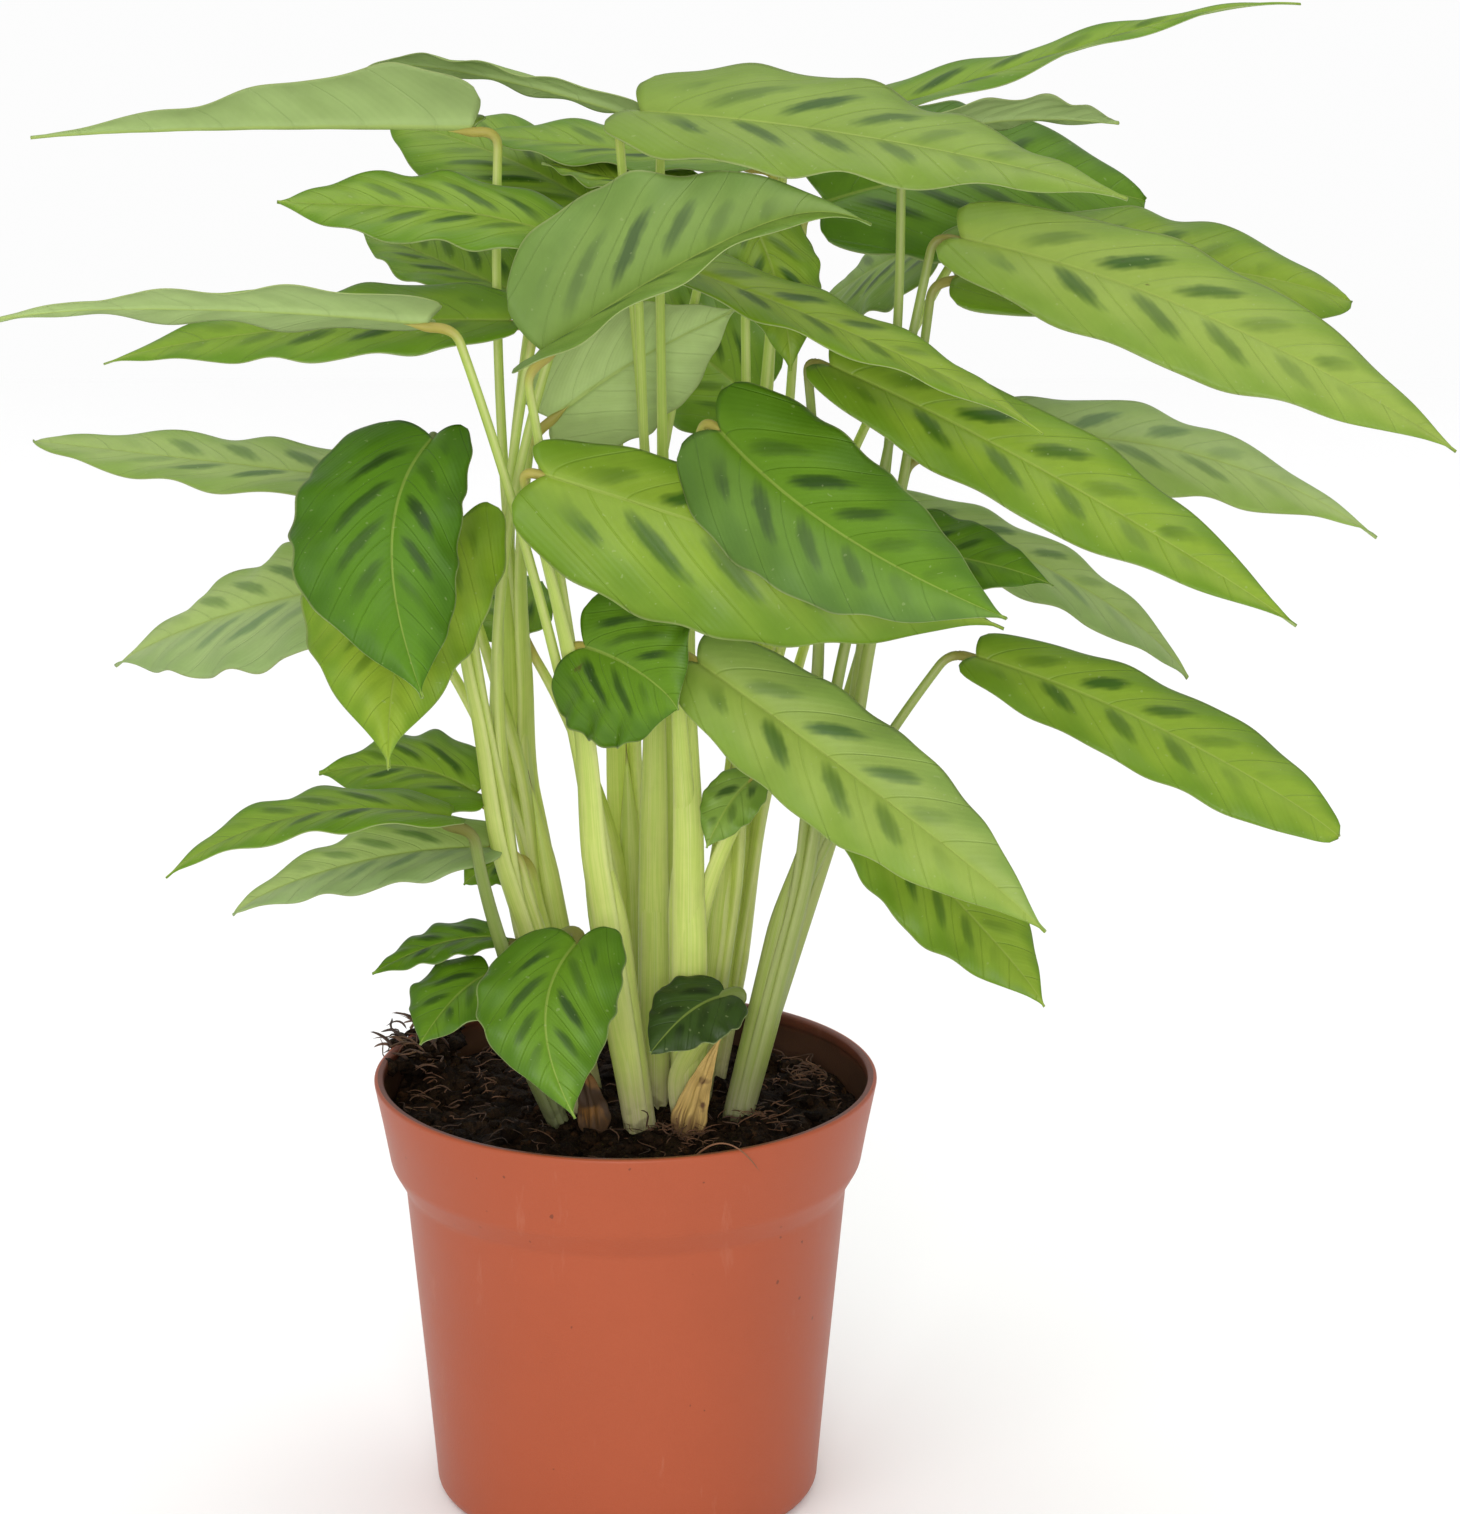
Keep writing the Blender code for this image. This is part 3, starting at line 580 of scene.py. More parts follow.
def blotch_share(tree, given, marks, where):
    """How much blotch there is. A blotch sits in each cell between two side veins, with its
    own random place and strength: 1 less an S-curve over the distance across to the power
    2.2 plus the distance along squared. It fades out at the base and towards the tip."""
    across, along = marks["across"], marks["along"]
    warped = (noise(where, 170.0) - 0.5) * 0.22 + marks["cells"]
    cell_number = calc("FLOOR", warped) + calc("SIGN", across) * 50.5
    parts = colour_parts(add_node(tree, "ShaderNodeTexWhiteNoise", {"W": cell_number}, noise_dimensions="1D"))
    reach = (abs(across) - (parts[0] * 0.12 + BLOTCH_MIDDLE)) / BLOTCH_REACH
    in_cell = (parts[1] - 0.5) * 0.14 + (calc("FRACT", warped) - 0.5)
    in_blotch = in_cell / given["Blotch Width"]
    squares = abs(reach) ** 2.2 + in_blotch * in_blotch + marks["fine"] * 0.22
    inside = fade(along, 0.04, 0.18) * (1.0 - fade(along, 0.60, 0.84))
    blotch = (1.0 - fade(squares, 0.10, 1.75)) * inside * (parts[2] * 0.75 + 0.42)
    return calc("MULTIPLY", blotch, given["Blotch Depth"], clamp=True)


def wire_blade(tree, given):
    """A blade's pattern, from its marks. The cells of one half lie half a cell behind the
    other's. Side veins are the cells' edges, fine veins divide each cell in seven, the pale
    middle bulges between the blotches, and the midrib and margin are bands."""
    names = ("along", "across", "cells", "offset", "blemish", "sheen")
    marks = {name: mark(tree, name) for name in names}
    along, across, cells = marks["along"], marks["across"], marks["cells"]
    where = place_in_metres(tree)
    side = abs(across)
    turn = 2.0 * math.pi
    fine = marks["fine"] = calc("SINE", cells * (turn * FINE_VEINS)) * 0.5 + 0.5
    blotch = blotch_share(tree, given, marks, where)
    to_edge = (noise(where, 60.0) - 0.5) * 0.6 + side + calc("COSINE", cells * turn) * -0.10
    base = (1.0 - fade(along, 0.0, 0.24)) * fade(side, 0.05, 0.5)
    vein_line = fade(abs(calc("FRACT", cells) - 0.5), 0.468, 0.497)
    streak = noise(combine(cells * 9.0, across), 1.0)
    shade = (vein_line * 0.38 + (fine * 0.16 + streak * 0.7)) * given["Vein Depth"]
    rib = 1.0 - fade(abs(marks["offset"]) / (along * -0.45 + 0.62), 0.45, 1.15)
    freckle = fade(noise(where, 800.0, 0.0), 0.80, 0.84)
    hurt = fade((noise(where, 450.0) - 0.5) * 0.9 + marks["blemish"], 0.40, 0.85)

    colour = mix(fade(to_edge, 0.30, 1.02), given["Middle"], given["Margin"])
    coats = (
        (base * 0.75, given["Margin"]),
        (calc("MINIMUM", shade, 0.8), given["Margin"]),
        (blotch, given["Blotch"]),
        (marks["sheen"] * 0.42, SHEEN_COLOUR),
        (rib * 0.48, given["Midrib"]),
        (fade(side, 0.972, 0.995) * 0.6, EDGE_COLOUR),
        (freckle * 0.25, FRECKLE_COLOUR),
        (hurt * 0.85, HURT_COLOUR),
    )
    for share, coat in coats:
        colour = mix(share, colour, coat)
    mottle = use_group(tree, "mottle", Colour=colour, Size=55.0, Amount=0.16)
    rough = mottle["Patches"] * 0.16 + 0.36 + blotch * -0.05 + hurt * 0.3
    height = fine * 0.12 + vein_line * -0.7 + streak * 0.25 + noise(where, 2600.0, 1.0) * 0.10
    return {"Colour": mottle["Colour"], "Roughness": rough, "Height": height + hurt * -0.6}


def wire_fibres(tree, given):
    """Fine lines along a stalk: noise stretched along it, plus ribs round it."""
    where = mark(tree, "fibre", "Vector")
    lines = noise(where, 7.0, 3.0, 0.6) * 0.6 + noise(where, 2.2, 1.0) * 0.4
    ribs = calc("SINE", mark(tree, "turn") * given["Ribs"]) * 0.5 + 0.5
    return {"Lines": lines, "Height": ribs * given["Depth"] + lines}


# A node group: how it is wired, its inputs with their defaults, and its outputs
GROUPS = {
    "mottle": (
        wire_mottle,
        {"Colour": (0.5, 0.5, 0.5), "Size": 60.0, "Amount": 0.2},
        ("Colour", "Patches"),
    ),
    "blade pattern": (
        wire_blade,
        {
            "Middle": (0.2, 0.3, 0.05),
            "Margin": (0.1, 0.2, 0.02),
            "Blotch": (0.05, 0.1, 0.01),
            "Midrib": (0.3, 0.4, 0.1),
            "Blotch Depth": 1.0,
            "Blotch Width": 0.22,
            "Vein Depth": 0.2,
        },
        ("Colour", "Roughness", "Height"),
    ),
    "stalk fibres": (wire_fibres, {"Ribs": 9.0, "Depth": 0.5}, ("Lines", "Height")),
}


def make_group(name):
    """Makes a node group. Its numbers are float sockets and all else is colour."""
    wire, inputs, outputs = GROUPS[name]
    tree = bpy.data.node_groups.new(name, "ShaderNodeTree")
    for label, default in inputs.items():
        kind = "NodeSocketFloat" if isinstance(default, float) else "NodeSocketColor"
        socket = tree.interface.new_socket(name=label, in_out="INPUT", socket_type=kind)
        socket.default_value = default if isinstance(default, float) else (*default, 1.0)
    for label in outputs:
        kind = "NodeSocketColor" if label == "Colour" else "NodeSocketFloat"
        tree.interface.new_socket(name=label, in_out="OUTPUT", socket_type=kind)
    given = tree.nodes.new("NodeGroupInput")
    result = tree.nodes.new("NodeGroupOutput")
    for label, value in wire(tree, {label: Value(given, label) for label in inputs}).items():
        feed(result.inputs[label], value)


def use_group(tree, name, **inputs):
    """Places a node group, made at its first use, and gives its outputs. In the names of its
    inputs _ stands for a space."""
    if name not in bpy.data.node_groups:
        make_group(name)
    made = add_node(tree, "ShaderNodeGroup", node_tree=bpy.data.node_groups[name])
    for key, value in inputs.items():
        feed(made.inputs[key.replace("_", " ")], value)
    return {label: Value(made, label) for label in GROUPS[name][2]}


# Materials


def material_of(name, paint, *settings):
    """The material of that name, painted at its first use."""
    if name not in bpy.data.materials:
        made = bpy.data.materials.new(name)
        made.use_nodes = True
        paint(made.node_tree, *settings)
    return bpy.data.materials[name]


def set_finish(tree, colour, roughness, specular=0.5, bump=None):
    """Feeds the Principled shader. A bump is its height, its depth in metres and its strength."""
    shader = tree.nodes["Principled BSDF"]
    feed(shader.inputs["Base Color"], colour)
    feed(shader.inputs["Roughness"], roughness)
    feed(shader.inputs["Specular IOR Level"], specular)
    if bump:
        inputs = dict(zip(("Height", "Distance", "Strength"), bump))
        feed(shader.inputs["Normal"], Value(add_node(tree, "ShaderNodeBump", inputs), "Normal"))


def let_light_through(tree, colour, share):
    """Mixes the shader with a translucent one of the same colour, as thin tissue is."""
    through = add_node(tree, "ShaderNodeBsdfTranslucent", {"Color": colour})
    shaders = {0: share, 1: Value(tree.nodes["Principled BSDF"], "BSDF"), 2: Value(through, "BSDF")}
    mixed = add_node(tree, "ShaderNodeMixShader", shaders)
    feed(tree.nodes["Material Output"].inputs["Surface"], Value(mixed, "Shader"))


def paint_blade(tree, tone, under, look):
    """Patterned leaf surface: glossy above, pale and matt underneath."""
    depths, duller, specular = (1.0, look.vein_depth), 0.0, 0.32
    if under:
        pale = np.array(look.under_colour)
        middle = 0.70 * pale + 0.30 * np.array(tone.middle)
        tone = Tone(middle, 0.80 * middle, 0.45 * pale + 0.5 * np.array(tone.margin))
        depths, duller, specular = (0.35, 0.45), 0.18, 0.22
    pattern = use_group(
        tree, "blade pattern", Middle=tone.middle, Margin=tone.margin, Blotch=tone.blotch,
        Midrib=look.midrib_colour, Blotch_Depth=depths[0], Vein_Depth=depths[1],
    )
    bump = (pattern["Height"], 0.0003, 0.7)
    set_finish(tree, pattern["Colour"], pattern["Roughness"] + duller, specular, bump)
    let_light_through(tree, pattern["Colour"], look.glow)


def paint_stalk(tree, look):
    """Pale at the foot, yellow-green above, yellow-orange at the elbow, with fine fibres."""
    fibres = use_group(tree, "stalk fibres", Ribs=8.0, Depth=0.12)
    rise = mark(tree, "rise")
    colour = mix(fade(rise, 0.01, 0.10), look.foot_colour, look.low_colour)
    colour = mix(fade(rise, 0.25, 0.80), colour, look.high_colour)
    lined = mix(1.0, colour, LINE_TINT, "MULTIPLY")
    colour = mix(fade(fibres["Lines"], 0.38, 0.62), lined, colour)
    edge = abs(calc("SINE", mark(tree, "turn"))) ** 9.0
    colour = mix(edge * 0.42, colour, look.edge_colour)
    colour = mix(mark(tree, "elbow") * 0.75, colour, look.elbow_colour)
    grime = fade(noise(place_in_metres(tree), 320.0, 3.0), 0.45, 0.65)
    grime = (1.0 - fade(rise, 0.0, 0.05)) * grime
    colour = mix(grime * 0.7, colour, GRIME_COLOUR)
    colour = mix(mark(tree, "dry"), colour, DRY_COLOUR)
    # Painted shade: where the shade mark is low, whole stems darken towards dark green; it also darkens
    # stalks towards young blades' elbows
    shaded = mix(1.0, colour, SHADE_TINT, "MULTIPLY")
    colour = mix(mark(tree, "shade"), shaded, colour)
    colour = use_group(tree, "mottle", Colour=colour, Size=70.0, Amount=0.10)["Colour"]
    set_finish(tree, colour, fibres["Lines"] * 0.2 + 0.30, 0.35, (fibres["Height"], 0.0001, 0.6))
    let_light_through(tree, colour, 0.42)


def paint_pot(tree, colour, look, inside):
    """Moulded satin plastic: cloudy colour, scuffs, dark specks, and dust with painted shade low on the
    inside.
    """
    where = place_in_metres(tree)
    mottle = use_group(tree, "mottle", Colour=colour, Size=22.0, Amount=0.07)
    stretched = {"Vector": where, "Rotation": (0.3, 0.5, 0.6), "Scale": (1.0, 0.25, 0.18)}
    scratch = Value(add_node(tree, "ShaderNodeMapping", stretched), "Vector")
    scuffs = fade(noise(scratch, 150.0, 4.0, 0.65), 0.63, 0.74) * look.scuffs
    colour = mix(scuffs, mottle["Colour"], SCUFF_COLOUR)
    specks = fade(noise(where, 340.0, 1.0, 0.4), 0.770, 0.795)
    colour = mix(specks * 0.55, colour, SPECK_COLOUR)
    # Inside: dust and painted shade, darkest low down by the soil
    if inside:
        height = Value(add_node(tree, "ShaderNodeSeparateXYZ", {"Vector": where}), "Z")
        low = (1.0 - fade(height, *DUST_AND_SHADE_HEIGHTS)) * 1.5
        dust_and_shade = calc("ADD", low, noise(where, 140.0, 4.0, 0.7) - 0.75, clamp=True)
        colour = mix(dust_and_shade * 0.92, colour, DUST_AND_SHADE_COLOUR)
    rough = mottle["Patches"] * 0.16 + (look.roughness - 0.08) + scuffs * 0.2
    grain = noise(where, 24.0, 1.0) * 2.0 + noise(where, 1900.0, 2.0, 0.6)
    set_finish(tree, colour, rough, 0.25, (scuffs * -0.5 + grain, 0.00012, 0.6))


def paint_peat(tree, look, size):
    """Damp fibrous peat: crumbs of two browns with rusty bits."""
    where = place_in_metres(tree)
    inputs = {"Vector": where, "Scale": size, "Randomness": 1.0}
    crumbs = add_node(tree, "ShaderNodeTexVoronoi", inputs)
    lighter, rusty, _ = colour_parts(crumbs)
    colour = mix(lighter, look.dark, look.light)
    colour = mix(fade(rusty, 0.88, 0.95) * 0.5, colour, RUST_COLOUR)
    cloud = noise(where, size * 0.14, 4.0, 0.6)
    colour = mix(fade(cloud, 0.35, 0.70), colour, look.dark)
    height = Value(crumbs, "Distance") + noise(where, size * 2.2, 3.0, 0.7)
    set_finish(tree, colour, cloud * 0.4 + 0.5, 0.06, (height, 0.0012, 0.9))


def paint_coir(tree, look):
    """Rusty coir and root fibres, each a little lighter or darker than the next."""
    colour = mix(mark(tree, "shade"), look.fibre_dark, look.fibre_light)
    fine = noise(place_in_metres(tree), 1500.0)
    colour = mix(fine * 0.5, colour, look.fibre_dark)
    set_finish(tree, colour, fine * 0.3 + 0.55, bump=(fine, 0.0002, 0.6))


def paint_paper(tree, pale, brown, brown_share):
    """Dry sheath: papery, with lengthwise fibres, a brown foot and brown spots."""
    along = mark(tree, "along")
    lines = noise(combine(along * 3.0, mark(tree, "across") * 9.0), 1.0, 3.0, 0.6)
    colour = mix(fade(lines, 0.35, 0.65), [0.80 * x for x in pale], pale)
    foot = 1.0 - fade(lines * 0.5 + along, 0.32, 0.52)
    colour = mix(foot * 0.85, colour, brown)
    spots = noise(place_in_metres(tree), 130.0, 3.0)
    colour = mix(fade(spots, 0.62 - 0.3 * brown_share, 0.72 - 0.2 * brown_share), colour, brown)
    set_finish(tree, colour, lines * 0.2 + 0.6, bump=(lines, 0.0003, 0.7))


# Pot


def inner_radius(z):
    """Radius of the pot's inner wall at height z: straight runs between its corners."""
    heights = (BODY_FOOT[1], STEP[1], BAND_FOOT[1], POT_HEIGHT)
    radii = (BODY_FOOT[0], STEP[0], BAND_FOOT[0], POT_RADIUS)
    return np.interp(z, heights, radii) - WALL


def rounded(corner, before, after, radius, steps=5):
    """Points of a fillet: a quadratic curve that leaves each side at the given distance."""
    corner, before, after = (np.array(x, dtype=float) for x in (corner, before, after))
    start = corner + unit(before - corner) * radius
    end = corner + unit(after - corner) * radius
    return curve(start, corner, end, np.linspace(0.0, 1.0, steps)[:, None])


def pot_profile():
    """Radius and height round the pot's section, from under its middle, up its outside,
    over its lip and down its inside. Gives the points and the row where the inside starts."""
    lip_foot = POT_HEIGHT - LIP_HEIGHT
    rim = (POT_RADIUS, POT_HEIGHT)
    lip_inner = (POT_RADIUS - LIP_THICKNESS, POT_HEIGHT)
    under_lip = (lip_inner[0], lip_foot)
    wall_top = (inner_radius(lip_foot), lip_foot - 0.8)
    turn = np.linspace(0.0, math.pi / 2.0, 9)[:, None]
    wide, high = BODY_FOOT[0] - BASE_RADIUS, BODY_FOOT[1]
    outside = [
        [(0.0, 0.0), (20.0, 0.0), (44.0, 0.0)],
        np.hstack([BASE_RADIUS + wide * np.sin(turn), high * (1 - np.cos(turn))]),
        [(56.2, 35.0), (58.8, 63.0)],
        rounded(STEP, BODY_FOOT, BAND_FOOT, 1.3),
        rounded(BAND_FOOT, STEP, rim, 1.3),
        [(67.6, 110.0)],
        rounded(rim, BAND_FOOT, lip_inner, 1.1, 6),
    ]
    z = np.array([BAND_FOOT[1], STEP[1], 50.0, BODY_FOOT[1] + 1.5])
    inside = [
        rounded(lip_inner, rim, under_lip, 0.9, 5),
        rounded(under_lip, lip_inner, wall_top, 0.4, 3),
        [(inner_radius(lip_foot - 1.2), lip_foot - 1.2)],
        np.stack([inner_radius(z), z], axis=1),
        [(radius, FLOOR_THICKNESS) for radius in (BASE_RADIUS - WALL, 20.0, 0.0)],
    ]
    return np.concatenate(outside + inside), sum(len(x) for x in outside)


def spun(profile, sides):
    """Corners of a profile of (radius, height) turned round Z: (r cos a, r sin a, z)."""
    radius, height = profile[:, :1], profile[:, 1:]
    flat = [radius * np.cos(around(sides)), radius * np.sin(around(sides))]
    return np.stack([*flat, np.broadcast_to(height, (len(profile), sides))], axis=-1)


def drain_tool():
    """Ring of upright closed cylinders that are cut from the pot's floor."""
    sides = 32
    profile = np.array([(0.0, -3.0), (DRAIN_RADIUS, -3.0), (DRAIN_RADIUS, 4.0), (0.0, 4.0)])
    one = spun(profile, sides).reshape(-1, 3)
    turn = (np.arange(DRAIN_COUNT) + 0.5) * 2.0 * math.pi / DRAIN_COUNT
    places = np.stack([np.cos(turn), np.sin(turn), np.zeros(DRAIN_COUNT)], axis=1) * DRAIN_CIRCLE
    corners = one[None] + places[:, None]
    faces = repeated(ring_faces(len(profile), sides), len(one), DRAIN_COUNT)
    return make_piece("drain_tool", corners, faces, [])


def apply_cut(piece, tool):
    """Cuts the tool from the piece and keeps the result as the piece's own mesh."""
    modifier = piece.modifiers.new("cut", "BOOLEAN")
    modifier.operation = "DIFFERENCE"
    modifier.solver = "EXACT"
    modifier.object = tool
    graph = bpy.context.evaluated_depsgraph_get()
    cut = bpy.data.meshes.new_from_object(piece.evaluated_get(graph))
    piece.modifiers.clear()
    piece.data = cut
    bpy.data.objects.remove(tool)


def build_pot(look):
    """Spins the pot's section and cuts its drain holes."""
    profile, inside_row = pot_profile()
    row = np.repeat(np.arange(len(profile) - 1), look.sides)
    materials = [
        material_of("terracotta_outside", paint_pot, look.colour, look, False),
        # The inside takes a darker colour: stain and painted shade
        material_of("terracotta_inside", paint_pot, look.inner_stain_and_shade, look, True),
    ]
    faces = ring_faces(len(profile), look.sides)
    used = (row >= inside_row - 1).astype(int)
    pot = make_piece("nursery_pot", spun(profile, look.sides), faces, materials, used)
    apply_cut(pot, drain_tool())
    pot.data.set_sharp_from_angle(angle=math.radians(SHARP_ANGLE))
    attach(pot, "terracotta_plastic", "pot")


# Soil


def soil_height(x, y):
    """Height of the soil: the crown, 1 - share of the radius squared, plus a bell-shaped
    mound under the clod and noises of several sizes, which are lower by the wall."""
    share = np.clip(np.hypot(x, y) / inner_radius(SOIL_EDGE_Z), 0.0, 1.0)
    crown = SOIL_EDGE_Z + SOIL_CROWN * (1.0 - share**2)
    mound = MOUND_HEIGHT * np.exp(-((x - CLOD[0]) ** 2 + (y - CLOD[1]) ** 2) / MOUND_SPREAD)
    lumps = sum(
        high * lattice_noise(x / size + shift, y / size + shift, seed)
        for size, shift, high, seed in SOIL_LUMPS
    )
    return crown + mound + lumps * (1.0 - 0.5 * soft_step(share, 0.95, 1.0))


def build_soil(look):
    """Root ball: a flat bottom, the pot's inner wall, and a lumpy crowned top."""
    heights = (FLOOR_THICKNESS + 0.4, BODY_FOOT[1] + 1.0, STEP[1], BAND_FOOT[1], SOIL_EDGE_Z - 2.0)
    wall = [(inner_radius(z) - SOIL_GAP, z) for z in heights[1:]]
    foot = [(0.0, heights[0]), (BASE_RADIUS - WALL - 1.0, heights[0])]
    wall = spun(np.array(foot + wall), look.sides)
    shares = np.linspace(1.0, 0.0, look.rings)[:, None]
    radius = shares * (inner_radius(SOIL_EDGE_Z) - SOIL_GAP)
    x, y = radius * np.cos(around(look.sides)), radius * np.sin(around(look.sides))
    top = np.stack([x, y, soil_height(x, y)], axis=-1)
    corners = np.concatenate([wall, top])
    material = material_of("damp_peat", paint_peat, look, PEAT_GRAIN)
    soil = make_piece("peat", corners, ring_faces(len(corners), look.sides), [material])
    attach(soil, "peat_soil", "soil")


def scatter_lumps(name, centres, sizes, seed, look):
    """Piece made of peat lumps: spheres of 6 x 7 corners, each corner pushed in or out at
    random, stretched, flattened and turned round Z."""
    rng = np.random.default_rng(seed)
    rows, sides, count = 6, 7, len(centres)
    fall = np.linspace(0.0, math.pi, rows)[::-1]
    ball = spun(np.stack([np.sin(fall), np.cos(fall)], axis=1), sides).reshape(-1, 3)
    push = rng.uniform(0.65, 1.2, (count, rows, sides))
    push[:, 0] = push[:, 0, :1]
    push[:, -1] = push[:, -1, :1]
    stretch = rng.uniform((0.8, 0.8, 0.5), (1.4, 1.1, 0.9), (count, 3))
    lumps = ball[None] * push.reshape(count, -1, 1) * stretch[:, None] * sizes[:, None, None]
    spin = rng.uniform(0.0, 2.0 * math.pi, count)[:, None]
    x = lumps[..., 0] * np.cos(spin) - lumps[..., 1] * np.sin(spin)
    y = lumps[..., 0] * np.sin(spin) + lumps[..., 1] * np.cos(spin)
    corners = np.stack([x, y, lumps[..., 2]], axis=-1) + centres[:, None]
    faces = repeated(ring_faces(rows, sides), rows * sides, count)
    material = material_of("peat_crumb", paint_peat, look, CRUMB_GRAIN)
    attach(make_piece(name, corners, faces, [material]), "peat_soil")


def on_soil(count, seed, spread=1.0):
    """Random places on the soil, as many near the rim as in the middle."""
    rng = np.random.default_rng(seed)
    radius = np.sqrt(rng.uniform(0.0, spread**2, count)) * (inner_radius(SOIL_EDGE_Z) - 4.0)
    angle = rng.uniform(0.0, 2.0 * math.pi, count)
    x, y = radius * np.cos(angle), radius * np.sin(angle)
    return np.stack([x, y, soil_height(x, y)], axis=1)


def build_crumbs(look):
    """Loose crumbs of peat lying on the soil."""
    sizes = 0.6 + 3.2 * np.random.default_rng(12).uniform(0.0, 1.0, look.crumbs) ** 3
    scatter_lumps("peat_crumbs", on_soil(look.crumbs, 11), sizes, 13, look)


def build_clod(look):
    """Clod of peat lumps that leans on the rim."""
    count = look.clod_crumbs
    apart = np.random.default_rng(31).normal(0.0, 1.0, (count, 3)) * (4.5, 6.0, 1.7)
    sizes = np.random.default_rng(32).uniform(1.0, 3.4, count)
    scatter_lumps("peat_clod", np.array(CLOD) + apart, sizes, 33, look)


def strand_corners(starts, headings, lengths, radii, seed, droop):
    """Fibres along curves: start + heading * length * u, plus a sideways bow and an upward
    arch of 4u(1 - u), less a droop of u squared. Each has 8 rings of 4 corners."""
    rng = np.random.default_rng(seed)
    rings, count = 8, len(starts)
    u = np.linspace(0.0, 1.0, rings)[None, :, None]
    lengths = lengths[:, None, None]
    aside = unit(np.cross(headings, (0.0, 0.0, 1.0)))
    bow = rng.uniform(-0.35, 0.35, (count, 1, 1)) * lengths
    arch = rng.uniform(-0.02, 0.22, (count, 1, 1)) * lengths
    curl = rng.uniform(-0.16, 0.16, (count, 1, 1)) * lengths
    path = starts[:, None] + headings[:, None] * lengths * u
    path = path + aside[:, None] * (bow * 4 * u * (1 - u) + curl * np.sin(u * 2 * math.pi * 1.3))
    path[..., 2:] += arch * 4 * u * (1 - u) - droop * lengths * u * u
    along = unit(np.gradient(path, axis=1))
    first = unit(np.cross(along, (0.21, 0.13, 0.97)))
    second = np.cross(along, first)
    angle = around(4)[:, None]
    size = (radii[:, None, None] * (1.0 - 0.75 * u**2)) * np.ones((1, rings, 1))
    size[:, [0, -1]] *= 0.02
    ring = first[:, :, None] * np.cos(angle) + second[:, :, None] * np.sin(angle)
    return path[:, :, None] + ring * size[..., None]


def bundle(rng, starts, turns, rises, lengths, radii, seed, droop=0.0, edge=None):
    """Fibres with turns round Z, rises, lengths and radii drawn from ranges. Those that would
    end beyond the edge are turned round."""
    count = len(starts)
    turn = rng.uniform(*turns, count)
    headings = np.stack([np.cos(turn), np.sin(turn), rng.uniform(*rises, count)], axis=1)
    lengths = rng.uniform(*lengths, count)
    if edge:
        ends = starts[:, :2] + headings[:, :2] * lengths[:, None]
        headings[:, :2] *= np.where(np.hypot(*ends.T) > edge, -1.0, 1.0)[:, None]
    return strand_corners(starts, headings, lengths, rng.uniform(*radii, count), seed, droop)


def build_fibres(look):
    """Coir fibres lying on the soil, a tuft of roots on the clod, and tangles here and there."""
    rng = np.random.default_rng(21)
    edge = inner_radius(SOIL_EDGE_Z)
    every_way = (0.0, 2.0 * math.pi)
    starts = on_soil(look.fibres, 22, 0.97)
    starts[:, 2] += rng.uniform(0.0, 1.2, look.fibres)
    strands = [bundle(rng, starts, every_way, (-0.05, 0.30), (4.0, 13.0), (0.10, 0.26), 23, edge=edge - 3.0)]
    outward = (0.55 * math.pi, 1.25 * math.pi)
    starts = np.array(CLOD) + rng.normal(0.0, 1.0, (look.tuft, 3)) * (4.5, 6.5, 2.2)
    strands.append(bundle(rng, starts, outward, (0.0, 1.1), (4.0, 11.0), (0.20, 0.60), 24, 0.3))
    edge -= 5.0
    for seed, (middle, spread, bits) in enumerate(TANGLES, 25):
        flat = np.array(middle) + rng.normal(0.0, 1.0, (bits, 2)) * spread
        flat *= np.minimum(1.0, edge / np.hypot(*flat.T))[:, None]
        starts = np.column_stack([flat, soil_height(*flat.T) + rng.uniform(0.2, 2.2, bits)])
        strands.append(bundle(rng, starts, every_way, (-0.2, 0.5), (2.5, 8.0), (0.10, 0.28), seed, edge=edge))

    corners = np.concatenate(strands)
    count, rings, sides = corners.shape[:3]
    shade = rng.uniform(0.0, 0.6, count)
    shade[look.fibres + look.tuft :] += 0.25
    faces = repeated(ring_faces(rings, sides), rings * sides, count)
    marks = {"shade": np.repeat(shade, rings * sides)}
    material = material_of("coir_fibre", paint_coir, look)
    attach(make_piece("coir_fibres", corners, faces, [material], marks=marks), "peat_soil")


def build_root(look):
    """Thin root that leaves the soil, rises over the front of the rim and hangs outside."""
    start, over, end = (np.array(x) for x in ROOT)
    path = np.concatenate([start[None], bezier(start, over, end, 24)])
    share = np.linspace(0.0, 1.0, len(path))
    radius = 0.32 * (1.0 - 0.6 * share) * (1.0 - share**30) + 0.01
    corners = tube(path, np.array([0.0, 0.0, 1.0]), radius, radius, 8)
    marks = {"shade": np.ones(corners.shape[0] * corners.shape[1])}
    faces = ring_faces(*corners.shape[:2])
    material = material_of("coir_fibre", paint_coir, look)
    attach(make_piece("root_over_rim", corners, faces, [material], marks=marks), "peat_soil")


# Shoots


def blade_turn(leaf):
    """Rotation that turns +X from the elbow to the tip, with +Y kept level."""
    way = Vector(leaf.tip) - Vector(leaf.elbow)
    rise = math.asin(way.z / way.length)
    return np.array(Euler((0.0, -rise, math.atan2(way.y, way.x))).to_matrix())


def blade_length(leaf):
    """Straight distance from the elbow to the tip."""
    return (Vector(leaf.tip) - Vector(leaf.elbow)).length


def local_heading(leaf):
    """Direction of the midrib's first slope in the blade's own frame, less its sway."""
    slope = 4.0 * leaf.arch * (1.0 + ARCH_LEAN / 2.0) + leaf.hook
    return unit(np.array([blade_length(leaf), 0.0, slope]))


